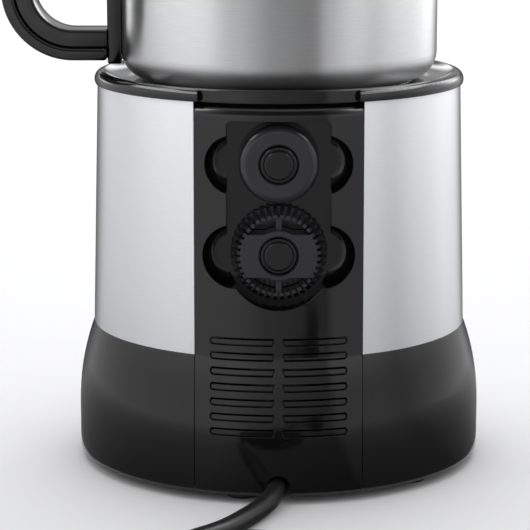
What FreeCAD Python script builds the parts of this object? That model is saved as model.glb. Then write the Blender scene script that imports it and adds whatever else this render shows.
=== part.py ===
"""An induction milk frother with its jug, two whisk discs and mains lead.

Millimetres. +Z is up and the table is z = 0. The base's axis is the Z axis. The controls face
-Y, the disc store and the lead are at the back, +Y, and the jug's handle points along +X.
"""
import FreeCAD, Part
import math
import os

import Sketcher
from FreeCAD import Placement, Rotation, Vector

SIZES = {
    # Skirt: upright to skirt_wide_z, then curving in to the steel wrap.
    "base_r": 75.0,
    "skirt_foot_z": 3.0,
    "skirt_wide_z": 20.0,
    "skirt_top_z": 51.4,
    "skirt_top_r": 69.3,
    "skirt_wall": 2.4,
    "skirt_edge": 1.5,
    "skirt_ledge_r": 62.0,
    # Steel wrap, a slight cone between the skirt and the rim.
    "wrap_top_r": 67.0,
    "wrap_top_z": 140.5,
    "wrap_wall": 0.8,
    "seam": 0.1,
    # Chassis inside the wrap.
    "chassis_gap": 0.3,
    "chassis_wall": 2.0,
    "shelf_z": 108.0,
    "shelf_wall": 2.4,
    # Rear panel and its store for the two discs.
    "panel_half": 29.4,
    "panel_wall": 2.4,
    "panel_top_z": 139.8,
    "panel_roll": 4.0,
    "panel_flange": 3.0,
    "store_floor_y": 55.0,
    "store_half": 18.2,
    "store_top_z": 134.4,
    "store_corner": 2.0,
    "store_wall": 1.8,
    "store_low_r": 18.7,
    "upper_post_z": 119.1,
    "lower_post_z": 87.1,
    "lobe_x": 15.4,
    "upper_lobe_r": 10.4,
    "lower_lobe_r": 11.2,
    "lobe_round": 5.0,
    "post_r": 6.3,
    "post_reach": 10.3,
    "post_pin_r": 4.95,
    "post_pin_reach": 11.4,
    "post_shank_r": 3.6,
    "keeper_r": 8.0,
    "keeper_wall": 0.8,
    # Vents: rows of paired slots with round ends.
    "vent_low_z": 25.85,
    "vent_pitch": 5.2,
    "vent_gap_half": 1.1,
    "vent_end_x": 24.1,
    "vent_tall": 2.8,
    "vent_lean": 0.9,
    "vent_slit": 0.75,
    "louvre_gap": 0.4,
    "louvre_inset": 0.7,
    "louvre_deep": 1.6,
    "notch_room": 0.7,
    "notch_head": 0.4,
    # Top cover: the rim and the dished deck that carries the glass seat.
    "rim_r": 67.8,
    "rim_line_r": 67.0,
    "rim_line_rise": 3.8,
    "rim_crest_rise": 4.4,
    "rim_crest_r": 64.6,
    "rim_notch_half": 28.2,
    "rim_notch_r": 65.7,
    "deck_r": 54.0,
    "seat_z": 142.3,
    "seat_r": 50.0,
    "seat_wall": 4.0,
    "seat_ledge": 4.0,
    "seat_ledge_wall": 1.5,
    "lip_r": 63.4,
    "lip_wall": 1.9,
    "lip_z": 132.0,
    # Motor, magnet carrier, sensor and coil.
    "bracket_top_z": 122.0,
    "bracket_wall": 2.0,
    "bracket_flange": 9.0,
    "motor_room": 2.0,
    "motor_r": 14.0,
    "motor_tall": 32.0,
    "motor_wall": 1.2,
    "motor_boss_r": 5.0,
    "motor_boss_tall": 3.0,
    "shaft_r": 1.5,
    "running_fit": 0.03,
    "carrier_r": 17.0,
    "carrier_z": 126.0,
    "carrier_tall": 11.0,
    "drive_magnet_r": 3.5,
    "drive_magnet_ring": 11.5,
    "drive_magnet_tall": 4.0,
    "sensor_room": 7.0,
    "sensor_r": 4.0,
    "sensor_gap": 0.3,
    "sensor_tall": 12.0,
    "holder_wall": 1.2,
    "holder_z": 118.5,
    "former_z": 129.0,
    "former_wall": 2.4,
    "former_r": 59.0,
    "coil_room": 1.5,
    "coil_out_r": 52.0,
    "coil_tall": 4.0,
    "leg_ring": 55.0,
    "leg_r": 3.2,
    "ferrite_wide": 8.0,
    "ferrite_tall": 5.0,
    "sheet_wall": 0.6,
    # Fan behind the vents.
    "fan_size": 40.0,
    "fan_deep": 20.0,
    "fan_y": 38.5,
    "fan_z": 44.3,
    "fan_bore_r": 18.9,
    "fan_hub_r": 10.5,
    "fan_tip_gap": 0.7,
    "fan_screw_pitch": 32.0,
    "fan_screw_r": 1.9,
    "fan_boss_r": 3.4,
    "fan_screw_bite": 6.0,
    # Base plate, feet and fixings.
    "plate_z": 4.0,
    "plate_wall": 2.4,
    "plate_gap": 0.4,
    "foot_ring": 64.0,
    "foot_r": 5.5,
    "foot_peg_r": 2.5,
    "base_screw_ring": 63.0,
    "base_screw_r": 1.5,
    "boss_r": 4.0,
    "boss_top_z": 19.0,
    # Power board and what stands on it.
    "board_z": 12.0,
    "board_wall": 1.6,
    "board_half_x": 44.0,
    "board_front_y": 46.0,
    "board_back_y": 34.0,
    "board_screw_x": 40.0,
    "board_screw_r": 1.45,
    "sink_half": 20.0,
    "sink_tall": 33.0,
    "sink_fin": 1.6,
    "sink_deep": 30.0,
    # Controls in the front of the skirt.
    "fascia_half": 27.0,
    "fascia_low_z": 9.0,
    "fascia_high_z": 46.0,
    "fascia_inset": 0.3,
    "fascia_wall": 2.2,
    "fit_gap": 0.2,
    "button_z": 28.0,
    "start_button_r": 9.1,
    "start_ring_r": 11.5,
    "side_button_x": 18.0,
    "side_button_r": 4.5,
    "button_gap": 0.3,
    "button_back_y": 67.0,
    "switch_gap": 1.3,
    "lens_r": 1.2,
    "lens_z": 39.5,
    "control_board_y": 61.6,
    "control_board_half": 26.0,
    "control_board_low": 20.0,
    "control_board_top": 44.0,
    # The discs: a smooth one for stirring and a crown of vanes for froth.
    "disc_gap": 0.3,
    "stir_r": 14.0,
    "stir_deep": 9.5,
    "stir_round": 2.8,
    "whisk_r": 16.9,
    "whisk_back_y": 56.0,
    "whisk_deep": 9.6,
    "whisk_ring_wall": 2.0,
    "whisk_crown_r": 13.2,
    "whisk_hub_r": 8.95,
    "vane_wall": 1.25,
    "disc_magnet_wall": 3.0,
    # Jug, handle and lid.
    "jug_r": 58.1,
    "jug_tall": 92.0,
    "jug_wall": 0.9,
    "jug_floor": 2.4,
    "jug_corner": 10.0,
    "spout_reach": 8.0,
    "spout_r": 15.0,
    "spout_deep": 30.0,
    "handle_reach": 38.4,
    "handle_low_rise": 6.7,
    "handle_high_rise": 82.0,
    "handle_band": 4.5,
    "handle_core": 6.5,
    "handle_half": 11.0,
    "handle_low_bend": 26.0,
    "handle_high_bend": 22.0,
    "spine_wall": 4.7,
    "spine_half": 8.5,
    "lid_gap": 0.4,
    "lid_wall": 2.2,
    "lid_deep": 11.0,
    "lid_over": 3.2,
    "lid_hole_r": 24.0,
    "cap_rise": 9.0,
    # Mains lead.
    "cord_r": 3.5,
    "cord_z": 6.6,
    "bush_wall": 1.1,
    "bush_y": 58.0,
    "bush_long": 6.0,
    "clamp_half": 10.0,
    "clamp_wall": 1.6,
    "clamp_screw_x": 7.8,
    "clamp_screw_r": 1.25,
    "coil_x": 9.0,
    "coil_y": 189.0,
    "coil_turn_r": 38.5,
    "plug_r": 18.5,
    "plug_long": 36.0,
    "pin_r": 2.4,
    "pin_long": 19.0,
    "pin_pitch": 19.0,
}

FOOT_COUNT = 6
FOOT_FIRST_TURN = 78.3
BASE_SCREW_TURNS = (48, 168, 288)
VENT_ROWS = 7
VANE_COUNT = 40
FIN_COUNT = 9
FAN_BLADES = 7
DRIVE_MAGNETS = 6
FERRITE_TURNS = (0, 60, 120, 180, 240, 300)
LEG_TURNS = (30, 150, 210, 330)

# The lead's route on the table: from the bush out of the notch and on to the coil.
LEAD_ROUTE = [
    (0.0, 58.0, 6.6),
    (0.0, 69.0, 6.6),
    (1.6, 80.0, 4.9),
    (6.2, 90.5, 3.6),
    (12.0, 102.5, 3.5),
    (18.6, 114.5, 3.5),
    (29.5, 125.5, 3.5),
    (39.48, 140.46, 3.5),
    (43.1, 153.98, 3.5),
]
# The tail's route: from the top of the coil up to the plug's axis.
TAIL_ROUTE = [
    (2.27, 237.34, 9.56),
    (-8.56, 243.59, 9.56),
    (-19.76, 247.23, 11.85),
    (-30.8, 248.59, 16.35),
    (-41.8, 248.59, 18.5),
    (-53.0, 248.59, 18.5),
]
# Where the lead joins the coil's outer turn and leaves its top turn, in degrees round the coil.
COIL_ENTRY_TURN = -15
COIL_EXIT_TURN = 60

doc = FreeCAD.newDocument("milk_frother")
nodes = []


class Size:
    """A length that keeps the sheet expression it comes from."""

    def __init__(self, value, text):
        self.value = float(value)
        self.text = text

    def __add__(self, other):
        other = as_size(other)
        return Size(self.value + other.value, f"({self.text} + {other.text})")

    def __sub__(self, other):
        other = as_size(other)
        return Size(self.value - other.value, f"({self.text} - {other.text})")

    def __mul__(self, other):
        other = as_size(other)
        return Size(self.value * other.value, f"({self.text} * {other.text})")

    def __truediv__(self, other):
        other = as_size(other)
        return Size(self.value / other.value, f"({self.text} / {other.text})")

    def __neg__(self):
        return Size(-self.value, f"(0 - {self.text})")

    def __radd__(self, other):
        return as_size(other) + self

    def __rsub__(self, other):
        return as_size(other) - self

    def __rmul__(self, other):
        return as_size(other) * self


def as_size(number):
    return number if isinstance(number, Size) else Size(number, f"{float(number):.9g}")


def root(size):
    return Size(math.sqrt(size.value), f"sqrt({size.text})")


class Sheet:
    """The spreadsheet of driving sizes: sheet.base_r is that cell as a Size."""

    def __init__(self, sizes):
        table = doc.addObject("Spreadsheet::Sheet", "Sizes")
        for row, (word, value) in enumerate(sizes.items(), start=1):
            table.set(f"A{row}", word)
            table.set(f"B{row}", str(value))
            table.setAlias(f"B{row}", word)
        doc.recompute()

    def __getattr__(self, word):
        return Size(SIZES[word], f"Sizes.{word}")


S = Sheet(SIZES)
# Each of these stands clear of the one before it, from the motor outwards.
bracket_r = S.motor_r + S.motor_room + S.bracket_wall
sensor_y = bracket_r + S.sensor_room
holder_r = S.sensor_r + S.sensor_gap + S.holder_wall
coil_in_r = sensor_y + holder_r + S.coil_room


# ---------------------------------------------------------------- shapes bound to the sheet
ALONG = {
    "X": Rotation(Vector(0, 1, 0), 90),
    "Y": Rotation(Vector(1, 0, 0), -90),
    "Z": Rotation(),
    "-Y": Rotation(Vector(1, 0, 0), 90),
}
PLANES = {"XY": ("XY_Plane", False), "XZ": ("XZ_Plane", True), "YZ": ("YZ_Plane", False)}


class Bend:
    """The edge between two corners of an outline as an arc; side is +1 for a centre on its left."""

    def __init__(self, radius, side=1):
        self.radius = as_size(radius)
        self.side = side


def bind(thing, **sizes):
    for name, size in sizes.items():
        thing.setExpression(name, as_size(size).text)
    return thing


def place(thing, x=0, y=0, z=0, turn=None):
    thing.Placement = Placement(Vector(), turn or Rotation())
    for axis, size in zip("xyz", (x, y, z)):
        thing.setExpression(f"Placement.Base.{axis}", as_size(size).text)
    return thing


def block(name, x, y, z):
    """A box between two places on each axis."""
    thing = doc.addObject("Part::Box", name)
    ends = [(as_size(low), as_size(high)) for low, high in (x, y, z)]
    bind(thing, Length=ends[0][1] - ends[0][0], Width=ends[1][1] - ends[1][0])
    bind(thing, Height=ends[2][1] - ends[2][0])
    return place(thing, *(low for low, _ in ends))


def spot(along, low, x, y, z):
    """The place where something that runs along an axis starts."""
    return {"X": (low, y, z), "Y": (x, low, z), "Z": (x, y, low)}[along]


def rod(name, radius, low, high, x=0, y=0, z=0, along="Z"):
    """A cylinder from low to high along one axis."""
    thing = doc.addObject("Part::Cylinder", name)
    bind(thing, Radius=radius, Height=as_size(high) - as_size(low))
    return place(thing, *spot(along, low, x, y, z), turn=ALONG[along])


def taper(name, low_r, high_r, low, high, x=0, y=0, z=0, along="Z"):
    """A cone from low to high along one axis."""
    thing = doc.addObject("Part::Cone", name)
    bind(thing, Radius1=low_r, Radius2=high_r, Height=as_size(high) - as_size(low))
    return place(thing, *spot(along, low, x, y, z), turn=ALONG[along])


def tube(name, inner, outer, low, high, x=0, y=0, z=0, along="Z"):
    whole = rod(f"{name}_outside", outer, low, high, x, y, z, along)
    hole = rod(f"{name}_inside", inner, low, high, x, y, z, along)
    return cut(name, whole, hole)


def fuse(name, *things):
    thing = doc.addObject("Part::MultiFuse", name)
    thing.Shapes = list(things)
    return thing


def cut(name, base, *tools):
    thing = doc.addObject("Part::Cut", name)
    thing.Base = base
    thing.Tool = tools[0] if len(tools) == 1 else fuse(f"{name}_tools", *tools)
    return thing


def common(name, *things):
    thing = doc.addObject("Part::MultiCommon", name)
    thing.Shapes = list(things)
    return thing


def group(name, things):
    """Separate solids kept as one piece of work."""
    thing = doc.addObject("Part::Compound", name)
    thing.Links = list(things)
    return thing


def copies(name, master, places, turns=None):
    """One piece repeated at each place, turned if turns are given."""
    links = []
    for index, where in enumerate(places):
        link = doc.addObject("App::Link", f"{name}_{index + 1}")
        link.LinkedObject = master
        links.append(place(link, *where, turn=turns[index] if turns else None))
    return links


def around(ring, turns, z=0):
    """Places on a circle of the given radius about the base's axis."""
    return [
        (ring * math.cos(math.radians(t)), ring * math.sin(math.radians(t)), z)
        for t in turns
    ]


def arc_edge(start, end, bend):
    """An arc of the bend's radius, and which of its ends is the start."""
    (ax, ay), (bx, by) = start, end
    chord = math.hypot(bx - ax, by - ay)
    rise = bend.side * math.sqrt(max(0.0, bend.radius.value**2 - chord**2 / 4))
    cx = (ax + bx) / 2 - rise * (by - ay) / chord
    cy = (ay + by) / 2 + rise * (bx - ax) / chord
    first = math.atan2(ay - cy, ax - cx)
    last = math.atan2(by - cy, bx - cx)
    circle = Part.Circle(Vector(cx, cy, 0), Vector(0, 0, 1), bend.radius.value)
    if bend.side > 0:
        return Part.ArcOfCircle(circle, first, last), (1, 2)
    return Part.ArcOfCircle(circle, last, first), (2, 1)


def draw(sketch, outline):
    """Draw a closed outline whose corners and bends are bound to the sheet."""
    corners = [item for item in outline if not isinstance(item, Bend)]
    bends = {}
    count = 0
    for item in outline:
        if isinstance(item, Bend):
            bends[count - 1] = item
        else:
            count += 1
    corners = [(as_size(a), as_size(b)) for a, b in corners]
    flat = [(a.value, b.value) for a, b in corners]
    edges = []
    ends = []
    for index, start in enumerate(flat):
        end = flat[(index + 1) % count]
        if index in bends:
            edge, order = arc_edge(start, end, bends[index])
        else:
            edge, order = Part.LineSegment(Vector(*start, 0), Vector(*end, 0)), (1, 2)
        edges.append(edge)
        ends.append(order)
    sketch.addGeometry(edges, False)
    for index in range(count):
        after = (index + 1) % count
        sketch.addConstraint(
            Sketcher.Constraint("Coincident", index, ends[index][1], after, ends[after][0])
        )
    for index, (a, b) in enumerate(corners):
        for kind, size, axis in (("DistanceX", a, -2), ("DistanceY", b, -1)):
            if size.text == "0":
                where = Sketcher.Constraint("PointOnObject", index, ends[index][0], axis)
                sketch.addConstraint(where)
            else:
                where = Sketcher.Constraint(kind, -1, 1, index, ends[index][0], size.value)
                number = sketch.addConstraint(where)
                sketch.setExpression(f"Constraints[{number}]", size.text)
    for index, bend in bends.items():
        number = sketch.addConstraint(Sketcher.Constraint("Radius", index, bend.radius.value))
        sketch.setExpression(f"Constraints[{number}]", bend.radius.text)


def sketched(name, plane, outline):
    """A body with one sketch of the outline on one of its own planes."""
    body = doc.addObject("PartDesign::Body", name)
    sketch = body.newObject("Sketcher::SketchObject", f"{name}_outline")
    role = PLANES[plane][0]
    face = next(item for item in body.Origin.OriginFeatures if item.Role == role)
    sketch.AttachmentSupport = [(face, "")]
    sketch.MapMode = "FlatFace"
    doc.recompute()
    draw(sketch, outline)
    return body, sketch


def turned(name, outline, x=0, y=0, z=0, along="Z"):
    """A body of revolution; the outline is (radius, height) pairs."""
    body, sketch = sketched(name, "XZ", outline)
    revolution = body.newObject("PartDesign::Revolution", f"{name}_turned")
    revolution.Profile = sketch
    revolution.ReferenceAxis = (sketch, ["V_Axis"])
    revolution.Angle = 360
    return place(body, x, y, z, turn=ALONG[along])


def plate(name, plane, outline, low, high):
    """A flat piece between two places along its plane's normal."""
    body, sketch = sketched(name, plane, outline)
    pad = body.newObject("PartDesign::Pad", f"{name}_pad")
    pad.Profile = sketch
    pad.Reversed = PLANES[plane][1]
    bind(pad, Length=as_size(high) - as_size(low))
    axis = {"XY": "z", "XZ": "y", "YZ": "x"}[plane]
    return place(body, **{axis: low})


def shaped(name, shape):
    """A piece whose shape is made by Part's own functions."""
    thing = doc.addObject("Part::Feature", name)
    thing.Shape = shape
    thing.Placement = Placement()
    return thing


def node(name, thing):
    """Name a finished sub-part; the label is its file's name."""
    thing.Label = name
    nodes.append(thing)
    return thing


def screw(name, radius, low, high, head_r, head_tall, along="Z"):
    """A screw whose head lies below low and whose shank runs up to high."""
    shank = rod(f"{name}_shank", radius, low, high, along=along)
    head = rod(f"{name}_head", head_r, -as_size(head_tall) + low, low, along=along)
    return fuse(name, shank, head)


# ---------------------------------------------------------------- the outer skin
def skirt_bend():
    """The radius of the arc that is upright at skirt_wide_z and ends at the skirt's top."""
    inward = S.base_r - S.skirt_top_r
    upward = S.skirt_top_z - S.skirt_wide_z
    return (inward * inward + upward * upward) / (inward * 2)


def skirt_r(z):
    """The skirt's outer radius at a height above skirt_wide_z."""
    bend = skirt_bend()
    upward = z - S.skirt_wide_z
    return S.base_r - bend + root(bend * bend - upward * upward)


def wrap_r(z):
    """The wrap's outer radius at a height."""
    slope = (S.skirt_top_r - S.wrap_top_r) / (S.wrap_top_z - S.skirt_top_z)
    return S.skirt_top_r - slope * (as_size(z) - S.skirt_top_z)


def chassis_r(z):
    return wrap_r(z) - S.wrap_wall - S.chassis_gap


def envelope(name, inset, low, high):
    """Everything inside the outer skin moved in by inset."""
    outline = [
        (0, low),
        (S.base_r - inset, low),
        (S.base_r - inset, S.skirt_wide_z),
        Bend(skirt_bend()),
        (S.skirt_top_r - inset, S.skirt_top_z),
        (wrap_r(high) - inset, high),
        (0, high),
    ]
    return turned(name, outline)


def base_skirt():
    under_ledge = S.skirt_top_z - S.skirt_wall
    shell = turned(
        "skirt_shell",
        [
            (S.base_r - S.skirt_wall, S.skirt_foot_z),
            (S.base_r - S.skirt_edge, S.skirt_foot_z),
            Bend(S.skirt_edge),
            (S.base_r, S.skirt_foot_z + S.skirt_edge),
            (S.base_r, S.skirt_wide_z),
            Bend(skirt_bend()),
            (S.skirt_top_r, S.skirt_top_z),
            (S.skirt_ledge_r, S.skirt_top_z),
            (S.skirt_ledge_r, under_ledge),
            (skirt_r(under_ledge) - S.skirt_wall, under_ledge),
            Bend(skirt_bend(), -1),
            (S.base_r - S.skirt_wall, S.skirt_wide_z),
        ],
    )
    plate_top = S.plate_z + S.plate_wall
    bosses = []
    for index, turn in enumerate(BASE_SCREW_TURNS):
        x, y, _ = around(S.base_screw_ring, [turn])[0]
        bosses.append(rod(f"skirt_boss_{index}", S.boss_r, plate_top, S.boss_top_z, x, y))
        rib = block(
            f"skirt_rib_{index}",
            (S.base_screw_ring, S.base_r - S.skirt_wall / 2),
            (-1.2, 1.2),
            (plate_top, S.boss_top_z),
        )
        rib.Placement = Placement(Vector(), Rotation(Vector(0, 0, 1), turn))
        for axis, part in (("x", math.cos), ("y", math.sin)):
            angle = math.radians(turn)
            along = S.base_screw_ring * part(angle)
            across = 1.2 * (math.sin(angle) if axis == "x" else -math.cos(angle))
            rib.setExpression(f"Placement.Base.{axis}", (along + across).text)
        rib.setExpression("Placement.Base.z", plate_top.text)
        bosses.append(rib)
    pilots = [
        rod(f"skirt_pilot_{i}", S.base_screw_r + 0.05, plate_top, S.boss_top_z - 2, x, y)
        for i, (x, y, _) in enumerate(around(S.base_screw_ring, BASE_SCREW_TURNS))
    ]
    rear = block(
        "skirt_rear_gap",
        (-S.panel_half - S.fit_gap, S.panel_half + S.fit_gap),
        (0, S.base_r + 5),
        (0, S.skirt_top_z + 5),
    )
    front = block(
        "skirt_front_window",
        (-S.fascia_half, S.fascia_half),
        (-S.base_r - 5, 0),
        (S.fascia_low_z, S.fascia_high_z),
    )
    node("base_skirt", cut("skirt", fuse("skirt_with_bosses", shell, *bosses), rear, front, *pilots))


def steel_wrap():
    low = S.skirt_top_z + S.seam
    shell = turned(
        "wrap_shell",
        [
            (wrap_r(low) - S.wrap_wall, low),
            (wrap_r(low), low),
            (wrap_r(S.wrap_top_z), S.wrap_top_z),
            (wrap_r(S.wrap_top_z) - S.wrap_wall, S.wrap_top_z),
        ],
    )
    rear = block(
        "wrap_rear_gap",
        (-S.panel_half - S.fit_gap, S.panel_half + S.fit_gap),
        (0, S.base_r),
        (0, S.wrap_top_z + 5),
    )
    node("steel_wrap", cut("wrap", shell, rear))


def inner_chassis():
    low = S.skirt_top_z + S.seam
    high = S.wrap_top_z - S.seam
    shelf_top = S.shelf_z + S.shelf_wall
    hole = bracket_r - S.bracket_wall
    shell = turned(
        "chassis_shell",
        [
            (chassis_r(low) - S.chassis_wall, low),
            (chassis_r(low), low),
            (chassis_r(high), high),
            (chassis_r(high) - S.chassis_wall, high),
            (chassis_r(shelf_top) - S.chassis_wall, shelf_top),
            (hole, shelf_top),
            (hole, S.shelf_z),
            (chassis_r(S.shelf_z) - S.chassis_wall, S.shelf_z),
        ],
    )
    rear = block(
        "chassis_rear_gap",
        (-S.panel_half - 2, S.panel_half + 2),
        (S.store_floor_y - S.store_wall - S.keeper_wall - 1, S.base_r),
        (0, S.wrap_top_z + 5),
    )
    node("inner_chassis", cut("chassis", shell, rear))


# ---------------------------------------------------------------- rear panel and disc store
def store_shape(name, grown, back):
    """The store's hollow, grown by a wall, from back out through the skin."""
    reach = S.base_r + 5
    half = S.store_half + grown
    top = S.store_top_z + grown
    corner = S.store_corner + grown
    upright = plate(
        f"{name}_slot",
        "XZ",
        [
            (-half, S.lower_post_z),
            (half, S.lower_post_z),
            (half, top - corner),
            Bend(corner),
            (half - corner, top),
            (corner - half, top),
            Bend(corner),
            (-half, top - corner),
        ],
        back,
        reach,
    )
    low = rod(
        f"{name}_low", S.store_low_r + grown, back, reach, z=S.lower_post_z, along="Y"
    )
    pieces = [upright, low]
    for label, z, radius in (
        ("upper", S.upper_post_z, S.upper_lobe_r),
        ("lower", S.lower_post_z, S.lower_lobe_r),
    ):
        for side in (-1, 1):
            lobe = turned(
                f"{name}_{label}_lobe_{side + 1}",
                [
                    (0, 0),
                    (radius + grown - S.lobe_round, 0),
                    Bend(S.lobe_round),
                    (radius + grown, S.lobe_round),
                    (radius + grown, reach - back),
                    (0, reach - back),
                ],
                x=S.lobe_x * side,
                y=back,
                z=z,
                along="Y",
            )
            pieces.append(lobe)
    return fuse(name, *pieces)


def slot_rows(name, low, high, shorter):
    """Pairs of level bars, one pair for each vent: round outer ends and leaning inner ends."""
    start = S.store_floor_y + 9
    round_r = (high - low) / 2
    far = S.vent_end_x - shorter
    bars = []
    for side in (-1, 1):
        near = [
            S.vent_gap_half + shorter + S.vent_lean * (S.vent_tall / 2 - z) / S.vent_tall
            for z in (high, low)
        ]
        outline = [
            (near[0] * side, S.vent_low_z + high),
            ((far - round_r) * side, S.vent_low_z + high),
            Bend(round_r, -side),
            (far * side, S.vent_low_z + high - round_r),
            Bend(round_r, -side),
            ((far - round_r) * side, S.vent_low_z + low),
            (near[1] * side, S.vent_low_z + low),
        ]
        master = plate(f"{name}_{side + 1}", "XZ", outline, start, S.base_r + 5)
        places = [(0, start, S.vent_pitch * row) for row in range(VENT_ROWS)]
        bars += copies(f"{name}_row_{side + 1}", master, places)
    return fuse(f"{name}_rows", *bars)


def vent_slots():
    """Louvred slots: each is a shallow pocket round a louvre, with a slit along its top edge."""
    half = S.vent_tall / 2
    slots = slot_rows("vent_slot", -half, half, as_size(0.0))
    louvres = slot_rows("vent_louvre", S.louvre_gap - half, half - S.vent_slit, S.louvre_gap)
    slits = slot_rows("vent_slit", half - S.vent_slit, half, S.louvre_gap)
    deep = envelope("pocket_floor", S.louvre_deep, S.skirt_foot_z, S.panel_top_z)
    faces = envelope("louvre_faces", S.louvre_inset, S.skirt_foot_z, S.panel_top_z)
    pockets = cut("vent_pockets", slots, deep)
    standing = common("louvres_standing", louvres, faces)
    return cut("vent_cuts", fuse("vent_holes", pockets, slits), standing)


def fan_screw_places():
    half = S.fan_screw_pitch / 2
    return [(half * i, 0, S.fan_z + half * k) for i in (-1, 1) for k in (-1, 1)]


def rear_panel():
    top = S.panel_top_z
    roll = S.panel_roll
    crown = wrap_r(top - roll)
    wall = S.panel_wall
    skin = turned(
        "panel_skin",
        [
            (S.base_r - wall, S.skirt_foot_z),
            (S.base_r - S.skirt_edge, S.skirt_foot_z),
            Bend(S.skirt_edge),
            (S.base_r, S.skirt_foot_z + S.skirt_edge),
            (S.base_r, S.skirt_wide_z),
            Bend(skirt_bend()),
            (S.skirt_top_r, S.skirt_top_z),
            (crown, top - roll),
            Bend(roll),
            (crown - roll, top),
            (crown - roll - S.panel_flange, top),
            (crown - roll - S.panel_flange, top - wall),
            (crown - wall, top - wall),
            (S.skirt_top_r - wall, S.skirt_top_z),
            Bend(skirt_bend(), -1),
            (S.base_r - wall, S.skirt_wide_z),
        ],
    )
    inside = envelope("panel_inside", 0.5, S.skirt_foot_z, top - wall / 2)
    back = S.store_floor_y - S.store_wall
    pan = store_shape("store_pan", S.store_wall, back)
    fan_front = S.fan_y + S.fan_deep
    bosses = [
        rod(f"fan_boss_{i}", S.fan_boss_r, fan_front, S.base_r, x=x, z=z, along="Y")
        for i, (x, _, z) in enumerate(fan_screw_places())
    ]
    body = common("panel_filling", fuse("pan_and_bosses", pan, *bosses), inside)
    sector = block(
        "panel_sector",
        (-S.panel_half, S.panel_half),
        (S.store_floor_y - 10, S.base_r + 1),
        (0, S.wrap_top_z),
    )
    blank = common("panel_blank", fuse("panel_whole", skin, body), sector)
    hollow = store_shape("store_hollow", 0, S.store_floor_y)
    notch_half = S.cord_r + S.notch_room
    notch_low = S.cord_z + S.cord_r + S.notch_head - notch_half
    notch = fuse(
        "cord_notch",
        block(
            "notch_foot",
            (-notch_half, notch_half),
            (S.store_floor_y, S.base_r + 5),
            (0, notch_low),
        ),
        rod(
            "notch_arch",
            notch_half,
            S.store_floor_y,
            S.base_r + 5,
            z=notch_low,
            along="Y",
        ),
    )
    pilot_end = fan_front + S.fan_screw_bite + 0.5
    pilots = [
        rod(f"fan_pilot_{i}", S.fan_screw_r + 0.05, fan_front, pilot_end, x=x, z=z, along="Y")
        for i, (x, _, z) in enumerate(fan_screw_places())
    ]
    shanks = [
        rod(f"post_hole_{i}", S.post_shank_r + 0.05, back - 1, S.store_floor_y + 1, z=z, along="Y")
        for i, z in enumerate((S.upper_post_z, S.lower_post_z))
    ]
    tools = (hollow, notch, vent_slots(), *pilots, *shanks)
    node("rear_panel", cut("panel", blank, *tools))


def storage_posts():
    """Posts with a waist below the pin, pushed into the store's floor."""
    back = S.store_wall + S.keeper_wall
    waist = S.post_pin_r + 0.35
    post = turned(
        "storage_post",
        [
            (0, -back),
            (S.post_shank_r, -back),
            (S.post_shank_r, 0),
            (S.post_r, 0),
            (S.post_r, S.post_reach - 0.4),
            Bend(0.4),
            (S.post_r - 0.4, S.post_reach),
            (waist, S.post_reach),
            (waist, S.post_reach - 0.6),
            (S.post_pin_r, S.post_reach - 0.6),
            (S.post_pin_r, S.post_pin_reach - 0.4),
            Bend(0.4),
            (S.post_pin_r - 0.4, S.post_pin_reach),
            (0, S.post_pin_reach),
        ],
    )
    places = [(0, S.store_floor_y, z) for z in (S.upper_post_z, S.lower_post_z)]
    pair = copies("post_copy", post, places, [ALONG["Y"], ALONG["Y"]])
    node("storage_posts", group("post_pair", pair))


def keeper_plates():
    """Steel washers on the posts' shanks, which the discs' magnets pull on."""
    back = S.store_floor_y - S.store_wall
    washers = [
        tube(
            f"keeper_{i}",
            S.post_shank_r + 0.05,
            S.keeper_r,
            back - S.keeper_wall,
            back,
            z=z,
            along="Y",
        )
        for i, z in enumerate((S.upper_post_z, S.lower_post_z))
    ]
    node("keeper_plates", group("keepers", washers))


# ---------------------------------------------------------------- top cover and glass seat
def top_cover():
    under = S.wrap_top_z + S.seam
    crest = under + S.rim_crest_rise
    deck_z = S.seat_z - 0.3
    ledge_r = S.seat_r - S.seat_ledge
    ledge_z = S.seat_z - S.seat_wall
    floor_z = ledge_z - S.seat_ledge_wall
    inner_lip = S.lip_r - S.lip_wall
    whole = turned(
        "cover_whole",
        [
            (S.rim_r, under),
            Bend(3.2),
            (S.rim_line_r, under + S.rim_line_rise),
            Bend(4.5),
            (S.rim_crest_r, crest),
            Bend(14, -1),
            (S.deck_r, deck_z),
            (S.seat_r + 0.1, deck_z),
            (S.seat_r + 0.1, ledge_z),
            (ledge_r, ledge_z),
            (ledge_r, floor_z),
            (S.seat_r + 2.5, floor_z),
            (S.deck_r + 3, under - 1.4),
            (inner_lip, under - 1.4),
            (inner_lip, S.lip_z),
            (S.lip_r, S.lip_z),
            (S.lip_r, under),
        ],
    )
    line = under + S.rim_line_rise
    ring = tube("notch_ring", S.rim_notch_r, S.base_r, under - 1, line + 0.1)
    window = block(
        "notch_window",
        (-S.rim_notch_half, S.rim_notch_half),
        (0, S.base_r),
        (under - 1, line + 0.1),
    )
    pan_room = block(
        "lip_gap",
        (-S.panel_half - 0.6, S.panel_half + 0.6),
        (S.store_floor_y - S.store_wall - 1.5, S.base_r),
        (S.lip_z - 1, S.panel_top_z + 0.2),
    )
    node("top_cover", cut("cover", whole, common("rim_notch", ring, window), pan_room))


def seat_disc():
    low = S.seat_z - S.seat_wall
    disc = turned(
        "seat_blank",
        [
            (0, low),
            (S.seat_r, low),
            (S.seat_r, S.seat_z - 0.5),
            Bend(0.5),
            (S.seat_r - 0.5, S.seat_z),
            (0, S.seat_z),
        ],
    )
    hole = rod("seat_hole", S.sensor_r + S.sensor_gap, low - 1, S.seat_z + 1, y=-sensor_y)
    node("seat_disc", cut("seat", disc, hole))


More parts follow.
